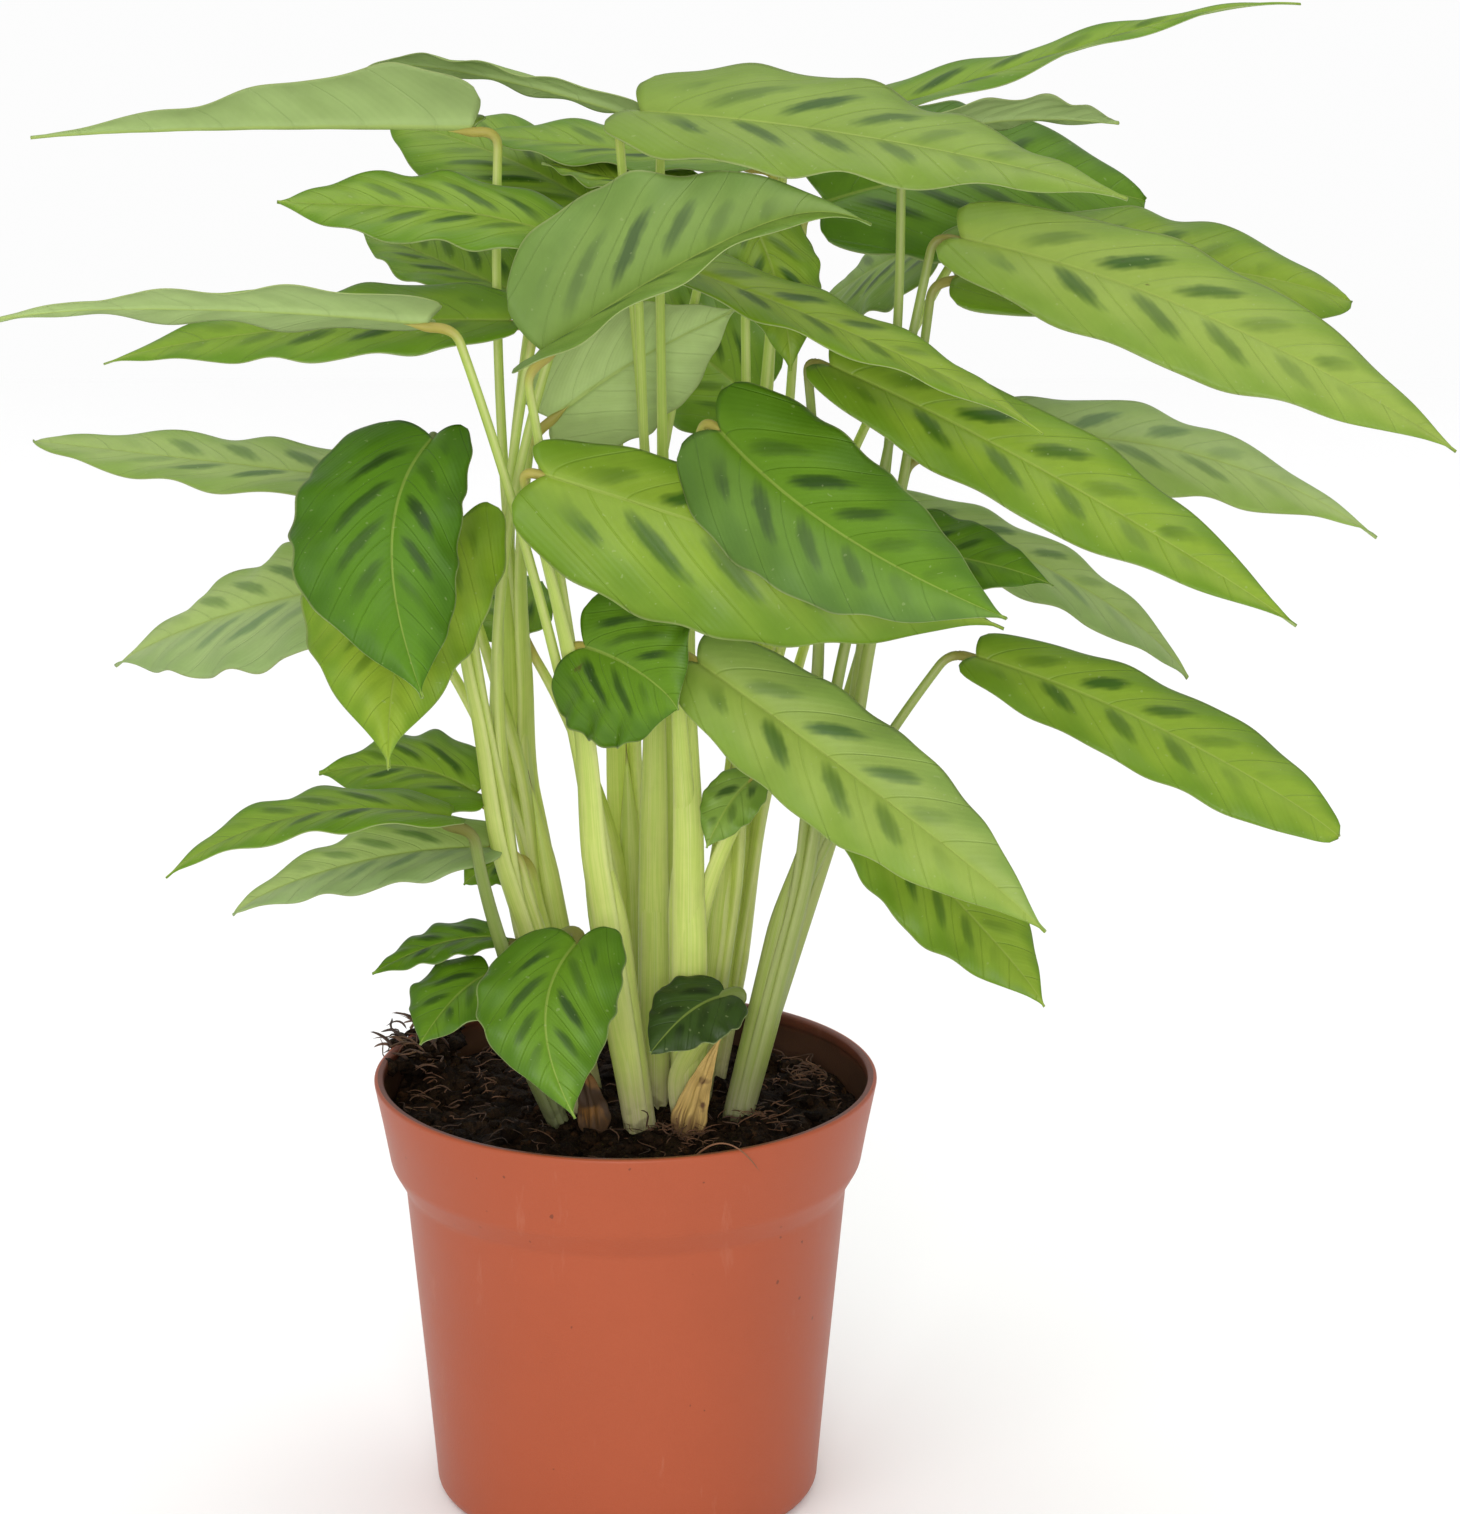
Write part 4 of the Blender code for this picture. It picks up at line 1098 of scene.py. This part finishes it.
def stem_ends(shoot):
    """A stem's foot and top."""
    return np.array((*shoot.foot, STEM_FOOT_Z), dtype=float), np.array(shoot.top, dtype=float)


def stalk_path(shoot, leaf):
    """Points up the stem, then the CAD's bow and elbow, the level way outward, and the index
    where the stalk leaves the stem. On the stem the path keeps to the side that the leaf grows to and eases
    back along the bow, and at the elbow it passes under the blade, along its midrib."""
    foot, top = stem_ends(shoot)
    start = foot + (top - foot) * leaf.start
    elbow = np.array(leaf.elbow, dtype=float)
    heading = blade_turn(leaf) @ local_heading(leaf)
    seat = elbow - heading * SEAT_LENGTH
    corner = seat - heading * ELBOW_REACH
    control = start + unit(top - foot) * np.linalg.norm(corner - start) * STALK_BOW
    knee = corner - unit(corner - control) * ELBOW_REACH
    low_count = 4 + int(18 * leaf.start)
    low = foot + (start - foot) * np.linspace(0.0, 1.0, low_count)[:, None]
    bow = bezier(start, control, knee, 26)
    bend = bezier(knee, corner, seat, 10)
    under_blade = elbow + heading * np.linspace(0.0, UNDER_BLADE, 6)[:, None]
    path = np.concatenate([low, bow, bend, under_blade])
    steps = distance_along(path)
    roll = math.radians(leaf.roll)
    down = -(blade_turn(leaf) @ np.array([0.0, -math.sin(roll), math.cos(roll)]))
    lower = soft_step(steps - steps[-1], -UNDER_BLADE - 12.0, -UNDER_BLADE)
    path = path + down * (BLADE_DROP * lower)[:, None]
    outward = unit((elbow - foot) * (1.0, 1.0, 0.0))
    place = np.arange(len(path))
    lean = 1.0 - soft_step(place, low_count - 1, low_count + 10)
    sway = STALK_SWAY * math.sin(7.0 * (leaf.elbow[0] + leaf.elbow[1]))
    free = np.sin(math.pi * np.clip((path[:, 2] - STEM_FOOT_Z) / (elbow[2] - STEM_FOOT_Z), 0.0, 1.0))
    aside = np.array([-outward[1], outward[0], 0.0])
    splay = SHEATH_SPLAY + SHEATH_SPLAY * np.clip(place / low_count, 0.0, 1.0)
    path = path + outward * (shoot.radii[0] * splay * lean)[:, None] + aside * (sway * free**2)[:, None]
    return path, outward, low_count


def tube(path, outward, wide, deep, sides, wrap=0.0):
    """Closed tube along a path: ellipses wide across and deep along the outward side. Wrap
    bends both edges back by that share of the width times sine squared."""
    along = unit(np.gradient(path, axis=0))
    first = unit(outward - along * (along @ outward)[:, None])
    second = np.cross(along, first)
    angle = around(sides)
    out = np.cos(angle) * deep[:, None] - np.sin(angle) ** 2 * (wrap * wide)[:, None]
    ring = first[:, None] * out[..., None] + second[:, None] * (np.sin(angle) * wide[:, None])[..., None]
    return path[:, None] + ring


def tube_part(path, corners, offset, elbow, dry, shade):
    """Corners, faces and marks of a tube's skin: its height above the soil, its elbow, dry
    and shade shares, the turn round it, and a place for fibres that is stretched along it."""
    shape = corners.shape[:2]
    angle = around(shape[1])
    rise = (path[:, 2] - SOIL_EDGE_Z) / SKIN_HEIGHT
    rows = {"rise": rise, "elbow": elbow, "dry": dry, "shade": shade}
    marks = {key: np.broadcast_to(np.reshape(value, (-1, 1)), shape).ravel() for key, value in rows.items()}
    marks["turn"] = np.broadcast_to(angle, shape).ravel()
    stretched = (distance_along(path) / FIBRE_STRETCH)[:, None]
    places = np.broadcast_arrays(np.cos(angle) * 1.5, np.sin(angle) * 1.5, stretched)
    fibre = np.stack(places, axis=-1) + np.array([*offset[:2], 0.0]) * 0.31
    marks["fibre"] = fibre.reshape(-1, 3)
    return corners.reshape(-1, 3), ring_faces(*shape), marks


def stalk_tube(shoot, leaf, look):
    """Corners, faces and marks of one stalk: a flat sheath that wraps the stem, narrows to
    a round stalk above it, swells at the elbow and thins out under the blade."""
    path, outward, leaving = stalk_path(shoot, leaf)
    steps = distance_along(path)
    sheath = 1.0 - soft_step(steps - steps[leaving - 1], -20.0, look.sheath_fade)
    to_elbow = steps[-1] - UNDER_BLADE - steps
    thin = look.stalk_radius * (1.0 - 0.15 * soft_step(steps / steps[-1], 0.3, 1.0))
    swell = 1.0 + ELBOW_SWELL * (1.0 - soft_step(np.abs(to_elbow - 1.0), 2.0, 8.0))
    swell = swell * (1.0 - 0.95 * soft_step(-to_elbow, 0.0, UNDER_BLADE))
    foot = 0.80 + 0.20 * soft_step(steps, 0.0, 45.0)
    wide = (thin + (shoot.radii[0] * look.sheath_width - thin) * sheath) * swell * foot
    deep = (thin + (shoot.radii[0] * SHEATH_DEPTH - thin) * sheath) * swell
    wide[[0, -1]] = 0.01
    deep[[0, -1]] = 0.01
    corners = tube(path, outward, wide, deep, look.stalk_sides, SHEATH_WRAP * sheath)
    elbow = 1.0 - soft_step(np.abs(to_elbow), 3.0, 13.0)
    shade = 1.0
    if leaf.tone in GREEN_ELBOWS:
        shade = 1.0 - 0.65 * elbow
        elbow = elbow * 0.2
    return tube_part(path, corners, leaf.elbow, elbow, 0.0, shade)


def stem_tube(shoot, look):
    """Corners, faces and marks of the innermost sheath, which ends in a dry point."""
    foot, top = stem_ends(shoot)
    share = np.linspace(0.0, 1.0, 30)
    path = foot + (top - foot) * share[:, None]
    radius = shoot.radii[0] + (shoot.radii[1] - shoot.radii[0]) * share
    radius = radius * INNER_STEM * (1.0 - soft_step(share, 0.70, 1.0)) ** 0.8
    radius[[0, -1]] = 0.02
    corners = tube(path, np.array([0.0, -1.0, 0.0]), radius, radius, look.stalk_sides)
    return tube_part(path, corners, shoot.foot, 0.0, soft_step(share, 0.93, 0.99), 1.0)


def build_shoot(name, look):
    """One shoot: its innermost sheath and every stalk that grows from it, in one mesh."""
    shoot = SHOOTS[name]
    parts = [stem_tube(shoot, look)]
    parts += [stalk_tube(shoot, leaf, look) for leaf in LEAVES.values() if f"shoot_{leaf.shoot}" == name]
    counts = np.cumsum([0] + [len(part[0]) for part in parts])
    corners = np.concatenate([part[0] for part in parts])
    faces = np.concatenate([part[1] + count for part, count in zip(parts, counts)])
    marks = {key: np.concatenate([part[2][key] for part in parts]) for key in parts[0][2]}
    # Painted shade on some whole stems
    marks["shade"] = marks["shade"] * STEM_SHADES.get(name, 1.0)
    material = material_of("stalk_skin", paint_stalk, look)
    piece = make_piece(name.replace("shoot_", "stems_"), corners, faces, [material], marks=marks)
    attach(piece, "green_stalk", name)


# Blades


def half_width_share(leaf, s):
    """Outline: a quarter-oval rise to the widest place, then a fall to the tip, raised to a
    power that grows to the leaf's point there."""
    widest, bluntness = OUTLINES[leaf.outline]
    rise = np.sqrt(1.0 - np.clip(1.0 - s / widest, 0.0, 1.0) ** BASE_ROUNDNESS)
    to_tip = np.clip((s - widest) / (1.0 - widest), 0.0, 1.0)
    fall = (1.0 - to_tip**bluntness) ** (1.0 + (leaf.point - 1.0) * to_tip**4)
    return np.where(s < widest, BASE_SHARE + (1.0 - BASE_SHARE) * rise, fall)


def blade_surface(leaf, seed, look):
    """Middle surface of a blade in its own frame, and its marks. The midrib's arch, hook and
    sway carry the halves' trough * |t| - cup * t squared, rolled; on that lie a wavy margin,
    a swelling between side veins, and lobes that reach back and up from the elbow."""
    rng = np.random.default_rng(seed)
    s = np.linspace(0.0, 1.0, look.rows)[:, None]
    even = np.linspace(-1.0, 1.0, look.columns)[None, :]
    t = np.sign(even) * np.abs(even) ** COLUMN_CROWDING
    side = np.abs(t)
    length = blade_length(leaf)
    full = leaf.width / 2.0
    half = np.maximum(full * half_width_share(leaf, s), TIP_HALF_WIDTH)
    half = half * (1.0 - np.where(t < 0.0, -1.0, 1.0) * leaf.lopsided)
    phase = np.where(t < 0.0, rng.uniform(0.0, 6.0), rng.uniform(0.0, 6.0))
    waves = rng.uniform(3.2, 4.4)
    turn = 2.0 * math.pi
    middle_part = np.sin(math.pi * np.clip(s * 1.05, 0.0, 1.0)) ** 0.7
    half = half * (1.0 + 0.020 * side * np.sin(turn * (s * waves * 1.7) + phase * 2.0))
    bow = 4.0 * s * (1.0 - s)
    rise = leaf.arch * bow * (1.0 + ARCH_LEAN * (0.5 - s)) + leaf.hook * s * (1.0 - s**HOOK_POWER)
    lobe = full * leaf.lobes * (1.0 - s) ** 4
    across = half * t
    pitch = np.clip(length / look.cell_count, *CELL_LENGTHS)
    cells = (s * length - look.vein_sweep * np.abs(across) ** 1.2) / pitch
    cells = cells + np.where(t < 0.0, 0.0, 0.5) + rng.uniform(0.0, 0.5)
    lift = half * (leaf.trough * side - leaf.cup * t * t)
    wave = look.wave_height * full / 20.0 * side**2.6 * np.sin(turn * s * waves + phase)
    quilt = look.quilt_height * np.cos(turn * cells) * 4.0 * side * (1.0 - side)
    lift = lift + (wave - quilt) * middle_part
    twist = 0.5 * lattice_noise(s * 3.0 + seed % 50, t * 1.2 + 5.0, 7) * full * 0.10
    lift = lift + twist * side + look.lobe_rise * lobe * side
    roll = math.radians(leaf.roll)
    x = length * s - look.lobe_back * lobe * (1.0 - (1.0 - side) ** 2)
    y = leaf.sway * bow + across * math.cos(roll) - lift * math.sin(roll)
    z = rise + across * math.sin(roll) + lift * math.cos(roll)
    surface = np.stack(np.broadcast_arrays(x, y, z), axis=-1) + local_heading(leaf) * SEAT_GAP
    marks = {"along": s, "across": t, "cells": cells, "offset": across}
    return surface, {key: np.broadcast_to(value, across.shape) for key, value in marks.items()}


def blemish_mark(name, marks):
    """Round spots that fall off as a bell curve from their middles."""
    total = np.zeros(marks["along"].shape)
    for along, across, size, depth in BLEMISHES.get(name, ()):
        apart = ((marks["along"] - along) / size) ** 2 + ((marks["across"] - across) / (3.0 * size)) ** 2
        total = np.maximum(total, depth * np.exp(-apart))
    return total


def shell(surface, across, along, look):
    """Upper and lower corners on both sides of the surface, a groove above the midrib and a
    rib under it: bell curves across, which shrink towards the tip."""
    by_s, by_t = np.gradient(surface, axis=0), np.gradient(surface, axis=1)
    up = unit(np.cross(by_s, by_t))
    rib_radius = look.rib_radius * (1.0 - 0.78 * along)
    rib = rib_radius * np.exp(-((across / (rib_radius * 0.8)) ** 2))
    groove = GROOVE_DEPTH * (1.0 - 0.7 * along) * np.exp(-((across / GROOVE_WIDTH) ** 2))
    half = np.maximum(np.abs(across).max(axis=1, keepdims=True), 0.2)
    thin = look.thickness / 2.0 * (1.0 - 0.5 * np.abs(across / half) ** 8)
    upper = surface + up * (thin - groove)[..., None]
    lower = surface - up * (thin + rib)[..., None]
    return upper, lower


def build_blade(name, leaf, seed, look, materials, slot, prefix):
    """Closed shell of a blade at its place, with upper, lower and rim faces."""
    surface, marks = blade_surface(leaf, seed, look)
    upper, lower = shell(surface, marks["offset"], marks["along"], look)
    corners = np.stack([upper, lower]).reshape(-1, 3) @ blade_turn(leaf).T + np.array(leaf.elbow)
    check_place(name, corners)
    marks["blemish"] = blemish_mark(name, marks)
    half, sheen = SHEENS.get(name, (1, 0.0))
    marks["sheen"] = sheen * soft_step(marks["across"] * half, -0.02, 0.25)
    marks = {key: np.tile(value.ravel(), 2) for key, value in marks.items()}
    above, below, rim = shell_faces(look.rows, look.columns)
    faces = np.concatenate([above, below, rim])
    used = np.repeat([0, 1, 1], [len(above), len(below), len(rim)])
    piece = make_piece(prefix + name, corners, faces, materials, used, marks)
    attach(piece, slot, name)


# Stage


def add_lamp(name, place, size, power):
    """Soft square area lamp that faces the plant."""
    data = bpy.data.lights.new(name, "AREA")
    data.size = size
    data.energy = power
    lamp = bpy.data.objects.new(name, data)
    lamp.location = place
    lamp.rotation_euler = (Vector(LAMP_TARGET) - Vector(place)).to_track_quat("-Z", "Y").to_euler()
    bpy.context.scene.collection.objects.link(lamp)


def paint_floor(tree, colour):
    """Plain matt floor."""
    set_finish(tree, colour, 0.9, 0.1)


def light_surroundings(strength):
    """White surroundings that light the plant with one strength and show another."""
    world = bpy.data.worlds.new("studio")
    bpy.context.scene.world = world
    world.use_nodes = True
    tree = world.node_tree
    light, seen = tree.nodes["Background"], add_node(tree, "ShaderNodeBackground")
    for node, brightness in ((light, strength), (seen, BACKDROP)):
        feed(node.inputs["Color"], (1.0, 1.0, 1.0))
        feed(node.inputs["Strength"], brightness)
    camera_ray = Value(add_node(tree, "ShaderNodeLightPath"), "Is Camera Ray")
    shaders = {0: camera_ray, 1: Value(light, "Background"), 2: Value(seen, "Background")}
    mixed = add_node(tree, "ShaderNodeMixShader", shaders)
    feed(tree.nodes["World Output"].inputs["Surface"], Value(mixed, "Shader"))


def add_camera(lens):
    """Camera in front of the plant, looking down at it."""
    data = bpy.data.cameras.new("camera")
    data.lens = lens
    data.sensor_width = SENSOR_WIDTH
    data.sensor_fit = "HORIZONTAL"
    camera = bpy.data.objects.new("camera", data)
    camera.location = CAMERA_PLACE
    camera.rotation_euler = (math.radians(CAMERA_TILT), 0.0, 0.0)
    bpy.context.scene.collection.objects.link(camera)
    bpy.context.scene.camera = camera


def build_stage(look):
    """Pale floor, bright surroundings, soft lamps and the camera."""
    square = np.array([(-1, -1, 0), (1, -1, 0), (1, 1, 0), (-1, 1, 0)])
    material = material_of("studio_floor", paint_floor, look.floor_colour)
    floor = make_piece("studio_floor", square * FLOOR_REACH / MM, np.array([[0, 1, 2, 3]]), [material])
    light_surroundings(look.surround)
    for name, (place, size, power) in LAMPS.items():
        add_lamp(name, place, size, getattr(look, power))
    add_camera(look.lens)
    bpy.context.scene.view_settings.view_transform = "Standard"


# Sizes and colours that a user would change


def colour_property(label, what, default):
    """Colour setting with a name and a description."""
    return FloatVectorProperty(
        name=label, description=what, subtype="COLOR", size=3, min=0.0, max=1.0, default=default
    )


def whole_property(label, what, default, least=1):
    """Whole-number setting."""
    return IntProperty(name=label, description=what, default=default, min=least)


def number_property(label, what, default, least=0.0, unit_name="NONE"):
    """Number setting, in a unit or none."""
    return FloatProperty(name=label, description=what, default=default, min=least, unit=unit_name)


def share_property(label, what, default):
    """Setting between 0 and 1."""
    return FloatProperty(name=label, description=what, default=default, min=0.0, max=1.0, subtype="FACTOR")


class CALATHEA_PG_pot(bpy.types.PropertyGroup):
    """Looks of the pot"""

    sides: whole_property("Sides", "Corners round the pot", 192, 16)
    colour: colour_property("Colour", "Colour of the plastic", (0.335, 0.070, 0.027))
    # Inner wall: darker than the outside, partly stain and partly painted shade
    inner_stain_and_shade: colour_property("Inner colour", "Colour of the stained inner wall", (0.170, 0.038, 0.018))
    roughness: share_property("Roughness", "How matt the plastic is", 0.42)
    scuffs: share_property("Scuffs", "How strongly pale scuffs show", 0.12)


class CALATHEA_PG_soil(bpy.types.PropertyGroup):
    """Looks of the soil and of what lies on it"""

    sides: whole_property("Sides", "Corners round the soil", 220, 16)
    rings: whole_property("Rings", "Rings of corners on the soil", 80, 8)
    crumbs: whole_property("Crumbs", "Loose crumbs on the soil", 950)
    fibres: whole_property("Fibres", "Coir fibres on the soil", 150)
    tuft: whole_property("Tuft", "Roots in the tuft on the clod", 60)
    clod_crumbs: whole_property("Clod", "Lumps in the clod by the rim", 60)
    dark: colour_property("Dark peat", "Colour of damp peat", (0.006, 0.003, 0.0014))
    light: colour_property("Light peat", "Colour of drier crumbs", (0.034, 0.018, 0.009))
    fibre_dark: colour_property("Dark fibre", "Colour of the darkest fibres", (0.022, 0.010, 0.005))
    fibre_light: colour_property("Light fibre", "Colour of the palest fibres", (0.215, 0.092, 0.038))


class CALATHEA_PG_shoots(bpy.types.PropertyGroup):
    """Looks of the stems and stalks"""

    stalk_sides: whole_property("Sides", "Corners round a stalk", 24, 6)
    stalk_radius: number_property("Stalk radius", "Free stalk's radius in millimetres", 1.45, 0.5)
    sheath_fade: number_property("Sheath end", "Height over its split where it is narrow, in mm", 115.0, 5.0)
    sheath_width: number_property("Sheath width", "Half-width as a share of the stem's radius", 0.92, 0.3)
    foot_colour: colour_property("Foot", "Colour at the soil", (0.70, 0.63, 0.38))
    low_colour: colour_property("Low stalk", "Colour of the lower sheaths", (0.72, 0.78, 0.24))
    high_colour: colour_property("High stalk", "Colour of the free stalks", (0.58, 0.68, 0.19))
    edge_colour: colour_property("Sheath edge", "Colour of a sheath's thin dry margin", (0.84, 0.82, 0.46))
    elbow_colour: colour_property("Elbow", "Colour of the swollen elbow", (0.50, 0.38, 0.08))


class CALATHEA_PG_blades(bpy.types.PropertyGroup):
    """Looks of the blades"""

    rows: whole_property("Rows", "Rows of corners along a blade", 88, 8)
    columns: whole_property("Columns", "Corners across a blade, an odd number", 33, 5)
    thickness: number_property("Thickness", "Blade's thickness in millimetres", 0.45, 0.1)
    rib_radius: number_property("Midrib radius", "Midrib's radius at the elbow in millimetres", 1.15, 0.1)
    wave_height: number_property("Margin waves", "Height of the margin's waves in millimetres", 1.5)
    quilt_height: number_property("Quilting", "Height of the swelling between side veins, in mm", 0.32)
    lobe_back: number_property("Lobes back", "Reach of the base behind the elbow, in half-widths", 0.34)
    lobe_rise: number_property("Lobes up", "Rise of the base's lobes, in half-widths", 0.20)
    cell_count: number_property("Cells", "Side veins along one half of a blade", 6.2, 1.0)
    vein_sweep: number_property("Vein sweep", "How far the side veins run forward", 0.85)
    vein_depth: share_property("Vein depth", "How dark the side veins are", 0.34)
    glow: share_property("Light through", "Share of light that passes through a blade", 0.28)
    midrib_colour: colour_property("Midrib", "Colour of the midrib", (0.38, 0.48, 0.09))
    under_colour: colour_property("Underside", "Colour of a pale underside", (0.46, 0.60, 0.25))


class CALATHEA_PG_stage(bpy.types.PropertyGroup):
    """Looks of the studio"""

    surround: number_property("Surroundings", "Brightness of the surroundings", 0.76)
    key_power: number_property("Key lamp", "Power of the key lamp", 11.0, unit_name="POWER")
    front_power: number_property("Front lamp", "Power of the low front lamp", 24.0, unit_name="POWER")
    top_power: number_property("Top lamp", "Power of the top lamp", 14.0, unit_name="POWER")
    floor_colour: colour_property("Floor", "Colour of the floor", (0.97, 0.97, 0.97))
    lens: number_property("Lens", "Camera lens in millimetres", 159.5, 1.0)


# One operator for each piece or group of like pieces


class CALATHEA_OT_pot(bpy.types.Operator):
    """Build the moulded nursery pot"""

    bl_idname = "calathea.build_pot"
    bl_label = "Build pot"

    def execute(self, context):
        build_pot(context.scene.calathea_pot)
        return {"FINISHED"}


class CALATHEA_OT_soil(bpy.types.Operator):
    """Build the root ball"""

    bl_idname = "calathea.build_soil"
    bl_label = "Build soil"

    def execute(self, context):
        build_soil(context.scene.calathea_soil)
        return {"FINISHED"}


class CALATHEA_OT_crumbs(bpy.types.Operator):
    """Scatter crumbs, coir fibres, a clod and a root on the soil"""

    bl_idname = "calathea.scatter_crumbs"
    bl_label = "Scatter crumbs and fibres"

    def execute(self, context):
        build_crumbs(context.scene.calathea_soil)
        build_fibres(context.scene.calathea_soil)
        build_clod(context.scene.calathea_soil)
        build_root(context.scene.calathea_soil)
        return {"FINISHED"}


class CALATHEA_OT_shoots(bpy.types.Operator):
    """Grow the sheathed stems and their leaf stalks"""

    bl_idname = "calathea.grow_shoots"
    bl_label = "Grow shoots"

    def execute(self, context):
        for name in SHOOTS:
            build_shoot(name, context.scene.calathea_shoots)
        return {"FINISHED"}


class CALATHEA_OT_blades(bpy.types.Operator):
    """Grow the patterned blades"""

    bl_idname = "calathea.grow_blades"
    bl_label = "Grow blades"

    def execute(self, context):
        look = context.scene.calathea_blades
        for seed, (name, leaf) in enumerate(LEAVES.items(), BLADE_SEED):
            tone = TONES[leaf.tone]
            materials = [
                material_of(f"blade_upper_{leaf.tone}", paint_blade, tone, False, look),
                material_of(f"blade_under_{leaf.tone}", paint_blade, tone, True, look),
            ]
            build_blade(name, leaf, seed, look, materials, "green_blade", "blade_of_")
        return {"FINISHED"}


class CALATHEA_OT_sheaths(bpy.types.Operator):
    """Stand the two dead sheaths against the stems"""

    bl_idname = "calathea.add_sheaths"
    bl_label = "Add dead sheaths"

    def execute(self, context):
        look = context.scene.calathea_blades
        for seed, (name, sheath) in enumerate(SHEATHS.items(), SHEATH_SEED):
            paper, *settings = PAPERS[name]
            material = material_of(paper, paint_paper, *settings)
            build_blade(name, sheath, seed, look, [material, material], "papery_sheath", "dead_")
        return {"FINISHED"}


class CALATHEA_OT_stage(bpy.types.Operator):
    """Set up the floor, the lamps and the camera"""

    bl_idname = "calathea.set_stage"
    bl_label = "Set stage"

    def execute(self, context):
        build_stage(context.scene.calathea_stage)
        return {"FINISHED"}


STEPS = (
    CALATHEA_OT_stage,
    CALATHEA_OT_pot,
    CALATHEA_OT_soil,
    CALATHEA_OT_crumbs,
    CALATHEA_OT_shoots,
    CALATHEA_OT_blades,
    CALATHEA_OT_sheaths,
)


class CALATHEA_PT_panel(bpy.types.Panel):
    """Lists the build steps and their settings"""

    bl_label = "Calathea"
    bl_idname = "CALATHEA_PT_panel"
    bl_space_type = "VIEW_3D"
    bl_region_type = "UI"
    bl_category = "Calathea"

    def draw(self, context):
        for step in STEPS:
            self.layout.operator(step.bl_idname)
        for key, group in LOOKS.items():
            box = self.layout.box()
            box.label(text=group.__doc__)
            for setting in group.__annotations__:
                box.prop(getattr(context.scene, key), setting)


LOOKS = {
    "calathea_pot": CALATHEA_PG_pot,
    "calathea_soil": CALATHEA_PG_soil,
    "calathea_shoots": CALATHEA_PG_shoots,
    "calathea_blades": CALATHEA_PG_blades,
    "calathea_stage": CALATHEA_PG_stage,
}
CLASSES = (*LOOKS.values(), *STEPS, CALATHEA_PT_panel)


def register():
    for item in CLASSES:
        bpy.utils.register_class(item)
    for key, group in LOOKS.items():
        setattr(bpy.types.Scene, key, PointerProperty(type=group))


def unregister():
    for key in LOOKS:
        delattr(bpy.types.Scene, key)
    for item in reversed(CLASSES):
        bpy.utils.unregister_class(item)


def main():
    """Registers the classes and builds every piece in order."""
    register()
    bpy.ops.calathea.set_stage()
    bpy.ops.calathea.build_pot()
    bpy.ops.calathea.build_soil()
    bpy.ops.calathea.scatter_crumbs()
    bpy.ops.calathea.grow_shoots()
    bpy.ops.calathea.grow_blades()
    bpy.ops.calathea.add_sheaths()


if __name__ == "__main__":
    main()
